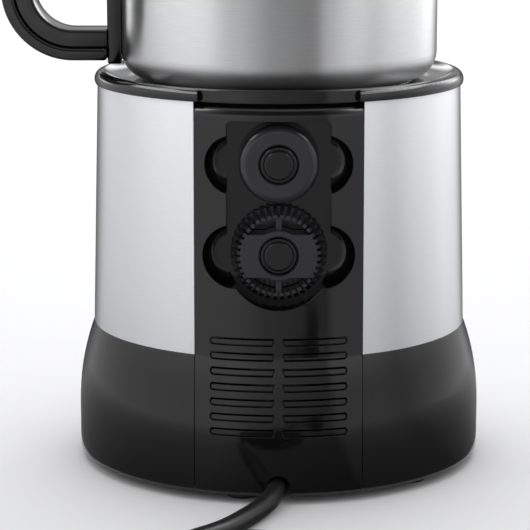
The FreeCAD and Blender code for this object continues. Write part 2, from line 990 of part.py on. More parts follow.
# ---------------------------------------------------------------- motor and magnet carrier
def motor_bracket():
    top = S.bracket_top_z
    shelf_top = S.shelf_z + S.shelf_wall
    inner = bracket_r - S.bracket_wall
    hat = turned(
        "bracket_hat",
        [
            (S.motor_boss_r + 0.1, top - S.bracket_wall),
            (inner, top - S.bracket_wall),
            (inner, shelf_top),
            (bracket_r + S.bracket_flange, shelf_top),
            (bracket_r + S.bracket_flange, shelf_top + S.bracket_wall),
            (bracket_r, shelf_top + S.bracket_wall),
            (bracket_r, top),
            (S.motor_boss_r + 0.1, top),
        ],
    )
    holes = [
        rod(f"motor_hole_{side + 1}", 1.4, top - 4, top + 1, x=9 * side) for side in (-1, 1)
    ]
    node("motor_bracket", cut("bracket", hat, *holes))


def motor():
    top = S.bracket_top_z - S.bracket_wall
    low = top - S.motor_tall
    wall = S.motor_wall
    inner = S.motor_r - wall
    bore = S.motor_boss_r - 1.5
    can = turned(
        "can_shell",
        [
            (bore, low - S.motor_boss_tall),
            (S.motor_boss_r, low - S.motor_boss_tall),
            (S.motor_boss_r, low),
            (S.motor_r - 1, low),
            Bend(1),
            (S.motor_r, low + 1),
            (S.motor_r, top),
            (S.motor_boss_r, top),
            (S.motor_boss_r, top + S.motor_boss_tall),
            (bore, top + S.motor_boss_tall),
            (bore, top - wall),
            (inner, top - wall),
            (inner, low + wall),
            (bore, low + wall),
        ],
    )
    holes = [
        rod(f"can_hole_{side + 1}", 1.3, top - wall - 1, top + 1, x=9 * side)
        for side in (-1, 1)
    ]
    node("motor_can", cut("can", can, *holes))
    bush_bore = S.shaft_r + S.running_fit
    bushes = [
        tube("bush_low", bush_bore, bore, low - S.motor_boss_tall, low + wall),
        tube("bush_high", bush_bore, bore, top - wall, top + S.motor_boss_tall),
    ]
    node("motor_bushes", group("bushes", bushes))
    ring = tube("magnet_ring", inner - 2.6, inner - 0.05, low + 6, top - 6)
    gap = block("magnet_gap", (-1.5, 1.5), (-20, 20), (low, top))
    node("motor_magnets", cut("field_magnets", ring, gap))
    shaft = rod("shaft", S.shaft_r, low - 4.5, S.carrier_z + S.carrier_tall - 2)
    node("motor_shaft", shaft)
    core = tube("core", S.shaft_r, inner - 3.3, low + 8, top - 10)
    commutator = tube("commutator", S.shaft_r, 4.2, top - 9.9, top - 5.5)
    node("motor_armature", group("armature", [core, commutator]))
    shank = rod("motor_screw_shank", 1.25, top - wall, S.bracket_top_z)
    head = rod("motor_screw_head", 2.2, S.bracket_top_z, S.bracket_top_z + 1.4)
    master = fuse("motor_screw", shank, head)
    pair = copies("motor_screw_copy", master, [(9, 0, 0), (-9, 0, 0)])
    node("motor_screws", group("motor_screw_pair", pair))


def magnet_carrier():
    low = S.carrier_z
    top = low + S.carrier_tall
    blank = turned(
        "carrier_blank",
        [
            (S.shaft_r, low),
            (6, low),
            (6, low + 3),
            (S.carrier_r, low + 3),
            (S.carrier_r, top - 0.8),
            Bend(0.8),
            (S.carrier_r - 0.8, top),
            (S.shaft_r + 0.5, top),
            (S.shaft_r + 0.5, top - 2),
            (S.shaft_r, top - 2),
        ],
    )
    turns = [360 / DRIVE_MAGNETS * index for index in range(DRIVE_MAGNETS)]
    bed = top - S.drive_magnet_tall
    pockets = [
        rod(f"magnet_pocket_{i}", S.drive_magnet_r + 0.05, bed, top + 1, x, y)
        for i, (x, y, _) in enumerate(around(S.drive_magnet_ring, turns))
    ]
    node("magnet_carrier", cut("carrier", blank, *pockets))
    magnets = [
        rod(f"drive_magnet_{i}", S.drive_magnet_r, bed, top, x, y)
        for i, (x, y, _) in enumerate(around(S.drive_magnet_ring, turns))
    ]
    node("drive_magnets", group("magnets", magnets))


# ---------------------------------------------------------------- induction coil and sensor
def coil_former():
    low = S.former_z
    top = low + S.former_wall
    shelf_top = S.shelf_z + S.shelf_wall
    disc = tube("former_disc", S.carrier_r + 1.2, S.former_r, low, top)
    legs = [
        rod(f"former_leg_{i}", S.leg_r, shelf_top, low + 1, x, y)
        for i, (x, y, _) in enumerate(around(S.leg_ring, LEG_TURNS))
    ]
    rear = block(
        "former_rear_gap",
        (-S.panel_half - 2, S.panel_half + 2),
        (S.store_floor_y - S.store_wall - S.keeper_wall - 1, S.base_r),
        (low - 1, top + 1),
    )
    hole = rod("former_sensor_hole", holder_r + 0.05, low - 1, top + 1, y=-sensor_y)
    node("coil_former", cut("former", fuse("former_and_legs", disc, *legs), rear, hole))
    bars = block(
        "ferrite_bar",
        (coil_in_r, S.coil_out_r - 2),
        (-S.ferrite_wide / 2, S.ferrite_wide / 2),
        (low - S.ferrite_tall, low),
    )
    links = []
    for index, turn in enumerate(FERRITE_TURNS):
        link = doc.addObject("App::Link", f"ferrite_{index + 1}")
        link.LinkedObject = bars
        link.LinkTransform = True
        link.Placement = Placement(Vector(), Rotation(Vector(0, 0, 1), turn))
        links.append(link)
    node("ferrite_bars", group("ferrites", links))
    coil_top = top + S.coil_tall
    node("induction_coil", tube("coil", coil_in_r, S.coil_out_r, top, coil_top))
    sheet_low = coil_top + 0.1
    ring = tube("sheet_disc", coil_in_r - 1, S.seat_r + 2, sheet_low, sheet_low + S.sheet_wall)
    node("insulation_sheet", ring)


def temperature_sensor():
    gap = S.sensor_gap
    inner = S.sensor_r + gap
    outer = inner + S.holder_wall
    low = S.holder_z
    top = S.former_z + S.former_wall
    node(
        "sensor_holder",
        turned(
            "holder_cup",
            [
                (0, low),
                (outer, low),
                (outer, top),
                (inner, top),
                (inner, low + S.holder_wall),
                (0, low + S.holder_wall),
            ],
            y=-sensor_y,
        ),
    )
    cap_top = S.seat_z - 0.05
    cap_low = cap_top - S.sensor_tall
    node(
        "sensor_cap",
        turned(
            "cap_blank",
            [
                (0, cap_low),
                (S.sensor_r, cap_low),
                (S.sensor_r, cap_top - 0.6),
                Bend(0.6),
                (S.sensor_r - 0.6, cap_top),
                (0, cap_top),
            ],
            y=-sensor_y,
        ),
    )
    wire = 0.35
    spring_low = (low + S.holder_wall).value + wire
    spring_tall = cap_low.value - wire - spring_low
    spring_r = S.sensor_r.value - wire - 0.3
    helix = Part.makeHelix(spring_tall / 5, spring_tall, spring_r)
    helix.translate(Vector(0, -sensor_y.value, spring_low))
    start = helix.Vertexes[0].Point
    circle = Part.makeCircle(wire, start, Vector(0, 1, 0.15))
    coil = Part.Wire(helix.Edges).makePipeShell([Part.Wire(circle)], True, True)
    node("sensor_spring", shaped("spring", coil))


# ---------------------------------------------------------------- fan
def fan():
    half = S.fan_size / 2
    low = S.fan_y
    high = low + S.fan_deep
    block_ = block("fan_block", (-half, half), (low, high), (S.fan_z - half, S.fan_z + half))
    bore = rod("fan_bore", S.fan_bore_r, low - 1, high + 1, z=S.fan_z, along="Y")
    holes = [
        rod(f"fan_hole_{i}", S.fan_screw_r + 0.25, low - 1, high + 1, x=x, z=z, along="Y")
        for i, (x, _, z) in enumerate(fan_screw_places())
    ]
    frame = cut("fan_frame_shell", block_, bore, *holes)
    hub = rod("fan_hub_plate", S.fan_hub_r, low, low + 2.4, z=S.fan_z, along="Y")
    arms = []
    for index, turn in enumerate((30, 150, 270)):
        angle = math.radians(turn)
        arm = doc.addObject("Part::Box", f"fan_arm_{index}")
        bind(arm, Length=S.fan_bore_r + 0.5, Width=2.4, Height=2.0)
        place(
            arm,
            x=math.sin(angle) * 1.0,
            y=low,
            z=S.fan_z - math.cos(angle) * 1.0,
            turn=Rotation(Vector(0, 1, 0), -turn),
        )
        arms.append(arm)
    node("fan_frame", fuse("fan_frame_whole", frame, hub, *arms))
    hub_low = low + 3.0
    hub_high = high - 0.6
    tip = S.fan_bore_r - S.fan_tip_gap
    rotor_hub = turned(
        "rotor_hub",
        [
            (0, 0),
            (S.fan_hub_r, 0),
            (S.fan_hub_r, hub_high - hub_low - 1.2),
            Bend(1.2),
            (S.fan_hub_r - 1.2, hub_high - hub_low),
            (0, hub_high - hub_low),
        ],
        y=hub_low,
        z=S.fan_z,
        along="Y",
    )
    blades = []
    for index in range(FAN_BLADES):
        turn = 360 / FAN_BLADES * index
        blade = doc.addObject("Part::Box", f"blade_{index}")
        bind(blade, Length=tip - 2, Width=13.0, Height=1.1)
        lean = Rotation(Vector(1, 0, 0), 38)
        around_y = Rotation(Vector(0, 1, 0), turn)
        centre = around_y.multVec(lean.multVec(Vector(0, -6.5, -0.55)))
        where = (centre.x, (hub_low + hub_high) / 2 + centre.y, S.fan_z + centre.z)
        blades.append(place(blade, *where, turn=around_y * lean))
    sweep_room = rod("blade_room", tip, hub_low, hub_high, z=S.fan_z, along="Y")
    swept = common("blades_trimmed", fuse("blades", *blades), sweep_room)
    node("fan_rotor", fuse("rotor", rotor_hub, swept))
    bite = high + S.fan_screw_bite
    master = screw("fan_screw", S.fan_screw_r, low, bite, 3.4, 2.0, along="Y")
    node("fan_screws", group("fan_screw_set", copies("screw_f", master, fan_screw_places())))


# ---------------------------------------------------------------- base plate, feet and boards
def board_screw_places(z):
    """The board's four screws, clear of what stands on it."""
    return [
        (S.board_screw_x * i, y, z)
        for i in (-1, 1)
        for y in (5 - S.board_front_y, S.board_back_y - 5)
    ]


def clamp_screw_places():
    """The two screws of the saddle over the lead's bush."""
    return [(S.clamp_screw_x * side, S.bush_y + S.bush_long / 2, 0) for side in (-1, 1)]


def foot_turns():
    return [FOOT_FIRST_TURN + 360 / FOOT_COUNT * index for index in range(FOOT_COUNT)]


def base_plate():
    low = S.plate_z
    top = low + S.plate_wall
    disc = rod("plate_disc", S.base_r - S.skirt_wall - S.plate_gap, low, top)
    standoffs = [
        rod(f"standoff_{i}", 3.4, top - 1, S.board_z, x, y)
        for i, (x, y, _) in enumerate(board_screw_places(0))
    ]
    rails = []
    for side in (-1, 1):
        edge = sorted((side * 24.0, side * 29.0))
        rails.append(
            block(
                f"rail_{side + 1}",
                edge,
                (-S.control_board_y - 2.2, -S.control_board_y + 3.8),
                (top - 1, 24),
            )
        )
    whole = fuse("plate_whole", disc, *standoffs, *rails)
    pegs = [
        rod(f"peg_hole_{i}", S.foot_peg_r + 0.05, low - 1, top + 1, x, y)
        for i, (x, y, _) in enumerate(around(S.foot_ring, foot_turns()))
    ]
    screws = [
        rod(f"screw_hole_{i}", S.base_screw_r + 0.2, low - 1, top + 1, x, y)
        for i, (x, y, _) in enumerate(around(S.base_screw_ring, BASE_SCREW_TURNS))
    ]
    pilots = [
        rod(f"board_pilot_{i}", S.board_screw_r + 0.05, top - 0.5, S.board_z + 1, x, y)
        for i, (x, y, _) in enumerate(board_screw_places(0))
    ]
    clamp_pilots = [
        rod(f"clamp_pilot_{i}", S.clamp_screw_r + 0.05, low - 1, top + 1, x, y)
        for i, (x, y, _) in enumerate(clamp_screw_places())
    ]
    bush_r = S.cord_r + S.bush_wall
    lead_gap = block(
        "lead_gap",
        (-bush_r - 0.3, bush_r + 0.3),
        (S.bush_y - 1, S.base_r),
        (low - 1, top + 1),
    )
    intake = [
        block(f"intake_{i}", (-24, 24), (-12 + 6 * i, -9.4 + 6 * i), (low - 1, top + 1))
        for i in range(8)
    ]
    board_slot = block(
        "board_slot",
        (-S.control_board_half - 0.2, S.control_board_half + 0.2),
        (-S.control_board_y - 0.1, -S.control_board_y + S.board_wall + 0.1),
        (S.control_board_low, S.control_board_top),
    )
    tools = (*pegs, *screws, *pilots, *clamp_pilots, lead_gap, *intake, board_slot)
    node("base_plate", cut("bottom_plate", whole, *tools))


def rubber_feet():
    foot = turned(
        "foot",
        [
            (0, 0),
            (S.foot_r - 1, 0),
            Bend(1),
            (S.foot_r, 1),
            (S.foot_r, S.plate_z),
            (S.foot_peg_r, S.plate_z),
            (S.foot_peg_r, S.plate_z + S.plate_wall + 1.5),
            (0, S.plate_z + S.plate_wall + 1.5),
        ],
    )
    node("rubber_feet", group("feet", copies("foot_copy", foot, around(S.foot_ring, foot_turns()))))


def base_screws():
    master = screw("base_screw", S.base_screw_r, S.plate_z, S.boss_top_z - 4, 3.0, 1.6)
    places = around(S.base_screw_ring, BASE_SCREW_TURNS)
    node("base_screws", group("base_screw_set", copies("screw_b", master, places)))


def power_board():
    low = S.board_z
    top = low + S.board_wall
    corner = 12
    front = -S.board_front_y
    back = S.board_back_y
    half = S.board_half_x
    board = plate(
        "power_board_blank",
        "XY",
        [
            (corner - half, front),
            (half - corner, front),
            (half, front + corner),
            (half, back - 5),
            (half - 5, back),
            (5 - half, back),
            (-half, back - 5),
            (-half, front + corner),
        ],
        low,
        top,
    )
    holes = [
        rod(f"board_hole_{i}", S.board_screw_r + 0.2, low - 1, top + 1, x, y)
        for i, (x, y, _) in enumerate(board_screw_places(0))
    ]
    node("power_board", cut("power_board_drilled", board, *holes))
    shank_low = S.plate_z + S.plate_wall
    shank = rod("board_shank", S.board_screw_r, shank_low, top)
    head = rod("board_head", 2.8, top, top + 1.8)
    master = fuse("board_screw", shank, head)
    places = board_screw_places(0)
    return copies("board_screw_copy", master, places)


def heat_sink():
    low = S.board_z + S.board_wall + 1.0
    high = low + S.sink_tall
    face = block("sink_face", (-S.sink_half, S.sink_half), (4, 7.5), (low, high))
    pitch = (S.sink_half * 2 - S.sink_fin) / (FIN_COUNT - 1)
    fins = [
        block(
            f"sink_fin_{i}",
            (pitch * i - S.sink_half, pitch * i - S.sink_half + S.sink_fin),
            (7, 4 + S.sink_deep),
            (low, high),
        )
        for i in range(FIN_COUNT)
    ]
    pegs = [
        rod(f"sink_peg_{side + 1}", 1.2, S.board_z, low + 2, x=12 * side, y=5.75)
        for side in (-1, 1)
    ]
    board = next(item for item in nodes if item.Label == "power_board")
    node("heat_sink", cut("sink", fuse("sink_whole", face, *fins, *pegs), board))
    chips = [
        block(f"chip_{side + 1}", (11 * side - 8, 11 * side + 8), (-1, 4), (low + 5, low + 26))
        for side in (-1, 1)
    ]
    return chips


def board_components(chips):
    """Capacitors, relay, filter, choke and terminals on the board, and the chips on the sink."""
    top = S.board_z + S.board_wall
    boxes = [
        block("film_1", (-38, -24), (-28, 4), (top, top + 24)),
        block("film_2", (-38, -26), (8, 26), (top, top + 16)),
        block("relay_box", (20, 35), (-33, -13), (top, top + 16)),
        block("filter_box", (24, 40), (-9, 11), (top, top + 12)),
    ]
    cans = [rod(f"can_{i}", 6.5, top, top + 25, x=-8 + 15 * i, y=-36) for i in range(2)]
    choke = tube("choke_ring", 5.5, 12.5, -22, -11, x=1, z=top + 13, along="Y")
    mouths = [
        rod(f"terminal_mouth_{i}", 1.8, 18, 25, x=29.5 + 4.5 * i, z=top + 6, along="Y")
        for i in range(3)
    ]
    terminals = cut("terminals", block("terminal_box", (26, 42), (14, 24), (top, top + 13)), *mouths)
    things = [*boxes, *cans, choke, terminals, *chips]
    node("board_components", group("components", things))


# ---------------------------------------------------------------- controls
def controls():
    inset = S.fascia_inset
    outer = envelope("fascia_outer", inset, S.skirt_foot_z, S.skirt_top_z + 1)
    inner = envelope("fascia_inner", inset + S.fascia_wall, S.skirt_foot_z - 1, S.skirt_top_z + 2)
    shell = cut("fascia_shell", outer, inner)
    gap = S.fit_gap
    window = block(
        "fascia_window",
        (gap - S.fascia_half, S.fascia_half - gap),
        (-S.base_r - 5, 0),
        (S.fascia_low_z + gap, S.fascia_high_z - gap),
    )
    blank = common("fascia_blank", shell, window)
    front = -S.base_r - 5
    lens_places = [side * x for side in (-1, 1) for x in (15, 21)]
    holes = [
        rod("start_hole", S.start_ring_r + 0.05, front, 0, z=S.button_z, along="Y"),
        *[
            rod(
                f"side_hole_{side + 1}",
                S.side_button_r + S.button_gap,
                front,
                0,
                x=S.side_button_x * side,
                z=S.button_z,
                along="Y",
            )
            for side in (-1, 1)
        ],
        *[
            rod(f"lens_hole_{i}", S.lens_r + 0.05, front, 0, x=x, z=S.lens_z, along="Y")
            for i, x in enumerate(lens_places)
        ],
    ]
    node("control_fascia", cut("fascia", blank, *holes))
    ring_in = S.start_button_r + S.button_gap
    ring = tube("ring_bar", ring_in, S.start_ring_r, front, 0, z=S.button_z, along="Y")
    light_ring = common("light_ring", blank, ring)
    lenses = [
        common(
            f"lens_{i}",
            blank,
            rod(f"lens_bar_{i}", S.lens_r, front, 0, x=x, z=S.lens_z, along="Y"),
        )
        for i, x in enumerate(lens_places)
    ]
    node("indicator_lenses", group("lenses", [light_ring, *lenses]))
    push_button("start_button", S.start_button_r, 0, S.base_r - 0.2)
    push_button("mode_button", S.side_button_r, -1, S.base_r - 2.3)
    push_button("temperature_button", S.side_button_r, 1, S.base_r - 2.3)


def push_button(name, radius, side, face_y):
    """A round button that stands out towards -Y from behind the fascia."""
    deep = face_y - S.button_back_y
    outline = [
        (0, 0),
        (radius, 0),
        (radius, deep - 0.8),
        Bend(0.8),
        (radius - 0.8, deep),
        (0, deep),
    ]
    where = {"x": S.side_button_x * side, "y": -S.button_back_y, "z": S.button_z}
    node(name, turned(f"{name}_blank", outline, along="-Y", **where))


def control_board():
    front = -S.control_board_y
    board = block(
        "control_board_blank",
        (-S.control_board_half, S.control_board_half),
        (front, front + S.board_wall),
        (S.control_board_low, S.control_board_top),
    )
    node("control_board", board)
    tip = -S.button_back_y + S.switch_gap
    switches = []
    for side in (-1, 0, 1):
        x = S.side_button_x * side
        body = block(
            f"switch_body_{side + 1}",
            (x - 3, x + 3),
            (front - 3, front),
            (S.button_z - 3, S.button_z + 3),
        )
        plunger = rod(f"plunger_{side + 1}", 1.7, tip, front - 3, x=x, z=S.button_z, along="Y")
        switches.append(fuse(f"switch_{side + 1}", body, plunger))
    lamps = [
        block(f"lamp_{i}", (x - 1.6, x + 1.6), (front - 1.4, front), (S.lens_z - 1, S.lens_z + 1))
        for i, x in enumerate((-21, -15, 15, 21))
    ]
    node("switches_and_lamps", group("board_front", [*switches, *lamps]))


# ---------------------------------------------------------------- the two discs
disc_bore = S.post_r + S.disc_gap


def stirring_disc():
    back = S.store_floor_y + S.disc_gap
    groove_in = disc_bore + 1.2
    groove_out = S.stir_r - 2.2
    node(
        "stirring_disc",
        turned(
            "stir_blank",
            [
                (disc_bore, 0),
                (groove_in, 0),
                (groove_in, S.disc_magnet_wall),
                (groove_out, S.disc_magnet_wall),
                (groove_out, 0),
                (S.stir_r - 0.5, 0),
                Bend(0.5),
                (S.stir_r, 0.5),
                (S.stir_r, S.stir_deep - S.stir_round),
                Bend(S.stir_round),
                (S.stir_r - S.stir_round, S.stir_deep),
                (disc_bore + 0.6, S.stir_deep),
                (disc_bore, S.stir_deep - 0.6),
            ],
            y=back,
            z=S.upper_post_z,
            along="Y",
        ),
    )
    magnet = tube(
        "stir_magnet",
        groove_in + 0.05,
        groove_out - 0.05,
        back,
        back + S.disc_magnet_wall - 0.05,
        z=S.upper_post_z,
        along="Y",
    )
    node("stirring_disc_magnet", magnet)


def whisk_disc():
    z = S.lower_post_z
    back = S.whisk_back_y
    front = back + S.whisk_deep
    ring_front = back + S.whisk_ring_wall
    ring = tube("whisk_ring", S.whisk_crown_r, S.whisk_r - 0.4, back, ring_front, z=z, along="Y")
    hub = turned(
        "whisk_hub",
        [
            (disc_bore, 0),
            (S.whisk_hub_r, 0),
            (S.whisk_hub_r, S.whisk_deep - 0.6),
            Bend(0.6),
            (S.whisk_hub_r - 0.6, S.whisk_deep),
            (disc_bore + 0.6, S.whisk_deep),
            (disc_bore, S.whisk_deep - 0.6),
        ],
        y=back,
        z=z,
        along="Y",
    )
    crown = turned(
        "whisk_crown",
        [
            (S.whisk_crown_r, 0),
            (S.whisk_r, 0),
            (S.whisk_r, S.whisk_ring_wall + 0.4),
            (S.whisk_crown_r + 1.2, S.whisk_deep - 1.0),
            (S.whisk_crown_r, S.whisk_deep - 1.0),
        ],
        y=back,
        z=z,
        along="Y",
    )
    vanes = []
    for index in range(VANE_COUNT):
        turn = math.radians(360 / VANE_COUNT * (index + 0.5))
        vane = doc.addObject("Part::Box", f"vane_{index}")
        bind(vane, Length=S.whisk_r + 1, Width=S.whisk_deep, Height=S.vane_wall)
        half = S.vane_wall / 2
        place(
            vane,
            x=half * math.sin(turn),
            y=back,
            z=z - half * math.cos(turn),
            turn=Rotation(Vector(0, 1, 0), -math.degrees(turn)),
        )
        vanes.append(vane)
    blades = common("whisk_vanes", crown, fuse("vane_fan", *vanes))
    wing_ring = tube(
        "wing_ring", S.whisk_hub_r - 0.5, S.whisk_crown_r + 0.2, back, front, z=z, along="Y"
    )
    wing_half = 0.574 * S.whisk_crown_r
    wing_band = block(
        "wing_band",
        (-S.whisk_r, S.whisk_r),
        (back, front),
        (z - wing_half, z + wing_half),
    )
    spokes = block("whisk_spokes", (-1, 1), (back, front - 2.5), (z - S.whisk_r, z + S.whisk_r))
    spoke_room = tube(
        "spoke_room", S.whisk_hub_r - 0.5, S.whisk_crown_r + 0.2, back, front, z=z, along="Y"
    )
    windows = []
    for index, turn in enumerate((62, 118, 242, 298)):
        angle = math.radians(turn)
        mid = (S.whisk_hub_r + S.whisk_crown_r) / 2
        windows.append(
            rod(
                f"whisk_window_{index}",
                (S.whisk_crown_r - S.whisk_hub_r) / 2 - 0.15,
                back - 1,
                front + 1,
                x=mid * math.cos(angle),
                z=z + mid * math.sin(angle),
                along="Y",
            )
        )
    wings = common("whisk_wings", wing_ring, wing_band)
    ribs = common("whisk_ribs", spokes, spoke_room)
    whole = fuse("whisk_whole", ring, hub, blades, wings, ribs)
    magnet_x = (S.whisk_hub_r + S.whisk_crown_r) / 2
    pockets = [
        rod(
            f"whisk_pocket_{side + 1}",
            1.85,
            back - 1,
            back + S.disc_magnet_wall + 2,
            x=magnet_x * side,
            z=z,
            along="Y",
        )
        for side in (-1, 1)
    ]
    node("whisk_disc", cut("whisk", whole, *windows, *pockets))
    magnets = [
        rod(
            f"whisk_magnet_{side + 1}",
            1.8,
            back,
            back + S.disc_magnet_wall + 1.95,
            x=magnet_x * side,
            z=z,
            along="Y",
        )
        for side in (-1, 1)
    ]
    node("whisk_disc_magnets", group("whisk_magnet_pair", magnets))


# ---------------------------------------------------------------- jug
def jug_rim():
    return S.seat_z + S.jug_tall


def jug_body():
    low = S.seat_z
    rim = jug_rim()
    r = S.jug_r
    corner = S.jug_corner
    inner_r = r - S.jug_wall
    inner_corner = corner - S.jug_wall
    outer = turned(
        "jug_outer",
        [
            (0, low),
            (r - corner, low),
            Bend(corner),
            (r, low + corner),
            (r, rim),
            (0, rim),
        ],
    )
    inner = turned(
        "jug_inner",
        [
            (0, low + S.jug_floor),
            (inner_r - inner_corner, low + S.jug_floor),
            Bend(inner_corner),
            (inner_r, low + S.jug_floor + inner_corner),
            (inner_r, rim + 1),
            (0, rim + 1),
        ],
    )
    lip_x = S.spout_r - S.spout_reach - r
    lip = taper("lip_outer", 1, S.spout_r, rim - S.spout_deep, rim, x=lip_x)
    lip_hollow = taper(
        "lip_inner",
        1,
        S.spout_r,
        rim - S.spout_deep + S.jug_wall * 2.2,
        rim + S.jug_wall * 2.2,
        x=lip_x,
    )
    bead = turned(
        "jug_bead",
        [
            (inner_r + 0.2, rim - 1.3),
            (r + 0.6, rim - 1.3),
            Bend(0.7),
            (r + 0.6, rim),
            (inner_r + 0.2, rim),
        ],
    )
    node("jug_body", cut("jug", fuse("jug_solid", outer, lip, bead), inner, lip_hollow))


def jug_spindle():
    low = S.seat_z + S.jug_floor
    reach = S.post_reach
    waist = S.post_pin_r + 0.35
    node(
        "jug_spindle",
        turned(
            "spindle_blank",
            [
                (0, low),
                (S.post_r, low),
                (S.post_r, low + reach),
                (waist, low + reach),
                (waist, low + reach - 0.6),
                (S.post_pin_r, low + reach - 0.6),
                (S.post_pin_r, low + S.post_pin_reach - 0.4),
                Bend(0.4),
                (S.post_pin_r - 0.4, low + S.post_pin_reach),
                (0, low + S.post_pin_reach),
            ],
        ),
    )


def handle_loop(name, start_x, near, far, half):
    """A C-shaped band in the X-Z plane between two depths from the handle's outer edge."""
    low = S.seat_z + S.handle_low_rise
    high = S.seat_z + S.handle_high_rise
    edge = S.jug_r + S.spine_wall + S.handle_reach
    low_bend = S.handle_low_bend
    high_bend = S.handle_high_bend
    outline = [
        (start_x, low + near),
        (edge - low_bend, low + near),
        Bend(low_bend - near),
        (edge - near, low + low_bend),
        (edge - near, high - high_bend),
        Bend(high_bend - near),
        (edge - high_bend, high - near),
        (start_x, high - near),
        (start_x, high - far),
        (edge - high_bend, high - far),
        Bend(high_bend - far, -1),
        (edge - far, high - high_bend),
        (edge - far, low + low_bend),
        Bend(low_bend - far, -1),
        (edge - low_bend, low + far),
        (start_x, low + far),
    ]
    return plate(name, "XZ", outline, -half, half)


def handle():
    start = S.jug_r + S.spine_wall
    node("handle_grip", handle_loop("grip_band", start, as_size(0), S.handle_band, S.handle_half))
    depth = S.handle_band + S.handle_core
    core = handle_loop("core_band", start, S.handle_band, depth, S.handle_half - 1.5)
    node("handle_core", core)
    bar = block(
        "spine_bar",
        (S.jug_r - 2, start),
        (-S.spine_half, S.spine_half),
        (S.seat_z + S.handle_low_rise - 1.5, S.seat_z + S.handle_high_rise + 1),
    )
    wall = rod("spine_room", S.jug_r, S.seat_z, jug_rim() + 5)
    node("handle_spine", cut("spine", bar, wall))


# ---------------------------------------------------------------- lid
def lid():
    rim = jug_rim()
    gap = S.lid_gap
    mouth = S.jug_r - S.jug_wall - gap
    wall = S.lid_wall
    top = rim + S.lid_over
    node(
        "lid",
        turned(
            "lid_blank",
            [
                (S.lid_hole_r, rim - 4),
                (mouth - 3, rim - 4),
                (mouth - 3, rim - S.lid_deep),
                (mouth - 1, rim - S.lid_deep),
                (mouth - 1, rim - 7),
                (mouth - 2, rim - 7),
                (mouth - 2, rim - 4),
                (mouth, rim - 3),
                (mouth, rim + 0.05),
                (S.jug_r + 1.2, rim + 0.05),
                (S.jug_r + 1.2, top - 1),
                Bend(1),
                (S.jug_r + 0.2, top),
                (mouth - wall, top),
                Bend(3, -1),
                (mouth - wall - 3, top - 3),
                (S.lid_hole_r + wall, rim - 4 + wall),
                (S.lid_hole_r + wall, rim + 1),
                (S.lid_hole_r, rim + 1),
            ],
        ),
    )
    node(
        "lid_seal",
        turned(
            "seal_blank",
            [
                (mouth - 1.95, rim - 6.9),
                (mouth - 0.9, rim - 6.9),
                (mouth + 0.3, rim - 5.6),
                (mouth - 0.9, rim - 4.4),
                (mouth - 1.95, rim - 4.4),
            ],
        ),
    )
    hole = S.lid_hole_r - S.button_gap
    node(
        "lid_cap",
        turned(
            "cap_cup",
            [
                (0, rim - 1.5),
                (hole - wall, rim - 1.5),
                (hole - wall, rim - 6),
                (hole, rim - 6),
                (hole, rim + 1.1),
                (S.lid_hole_r + 4, rim + 1.1),
                (S.lid_hole_r + 4, rim + 2.4),
                Bend(1.5),
                (S.lid_hole_r + 2.5, rim + 3.9),
                (11, rim + 4.4),
                Bend(4, -1),
                (8, rim + 7),
                (8, rim + S.cap_rise - 1.5),
                Bend(1.5),
                (6.5, rim + S.cap_rise),
                (0, rim + S.cap_rise),
            ],
        ),
    )


# ---------------------------------------------------------------- mains lead
def lead_tube(name, route):
    """Straight runs joined by tangent arcs, swept with the lead's round section."""
    points = [Vector(*point) for point in route]
    edges = []
    last = points[0]
    for before, corner, after in zip(points, points[1:], points[2:]):
        back = before - corner
        on = after - corner
        turn = math.pi - back.getAngle(on)
        tangent = 0.45 * min(back.Length, on.Length)
        radius = tangent / math.tan(turn / 2)
        back.normalize()
        on.normalize()
        start = corner + back * tangent
        end = corner + on * tangent
        inward = back + on
        inward.normalize()
        middle = corner + inward * (math.hypot(radius, tangent) - radius)
        edges.append(Part.LineSegment(last, start).toShape())
        edges.append(Part.Arc(start, middle, end).toShape())
        last = end
        print(f"{name}: bend radius {radius:.1f} mm")
    edges.append(Part.LineSegment(last, points[-1]).toShape())
    path = Part.Wire(edges)
    first = points[1] - points[0]
    section = Part.Wire(Part.makeCircle(S.cord_r.value, points[0], first))
    pipe = path.makePipeShell([section], True, False)
    solid_volume = math.pi * S.cord_r.value**2 * path.Length
    print(f"{name}: length {path.Length:.1f} mm, volume share {pipe.Volume / solid_volume:.4f}")
    return shaped(name, pipe)


def mains_lead():
    node("mains_lead", lead_tube("lead", LEAD_ROUTE))
    node("lead_tail", lead_tube("tail", TAIL_ROUTE))
    r = S.cord_r
    ring = turned(
        "coil_ring",
        [
            (S.coil_turn_r - r - 2.5, 0),
            (S.coil_turn_r + r + 2.5, 0),
            (S.coil_turn_r + r * 2, 1.5),
            (S.coil_turn_r + r * 2, 6.2),
            (S.coil_turn_r + r, 12),
            (S.coil_turn_r + r - 1.5, 13.1),
            (S.coil_turn_r - r + 1.5, 13.1),
            (S.coil_turn_r - r, 12),
            (S.coil_turn_r - r * 2, 6.2),
            (S.coil_turn_r - r * 2, 1.5),
        ],
        x=S.coil_x,
        y=S.coil_y,
    )
    outer_turn = S.coil_turn_r.value + r.value
    entry = coil_stub("coil_entry", LEAD_ROUTE[-1], outer_turn, COIL_ENTRY_TURN)
    leaving = coil_stub("coil_leaving", TAIL_ROUTE[0], S.coil_turn_r.value, COIL_EXIT_TURN)
    node("lead_coil", fuse("coil_of_lead", ring, entry, leaving))


def coil_stub(name, end, ring, turn):
    """The short straight stretch between a turn of the coil and the end of a tube."""
    angle = math.radians(turn)
    across = Vector(math.cos(angle), math.sin(angle), 0) * ring
    foot = Vector(S.coil_x.value, S.coil_y.value, end[2]) + across
    reach = Vector(*end) - foot
    return shaped(name, Part.makeCylinder(S.cord_r.value, reach.Length, foot, reach))


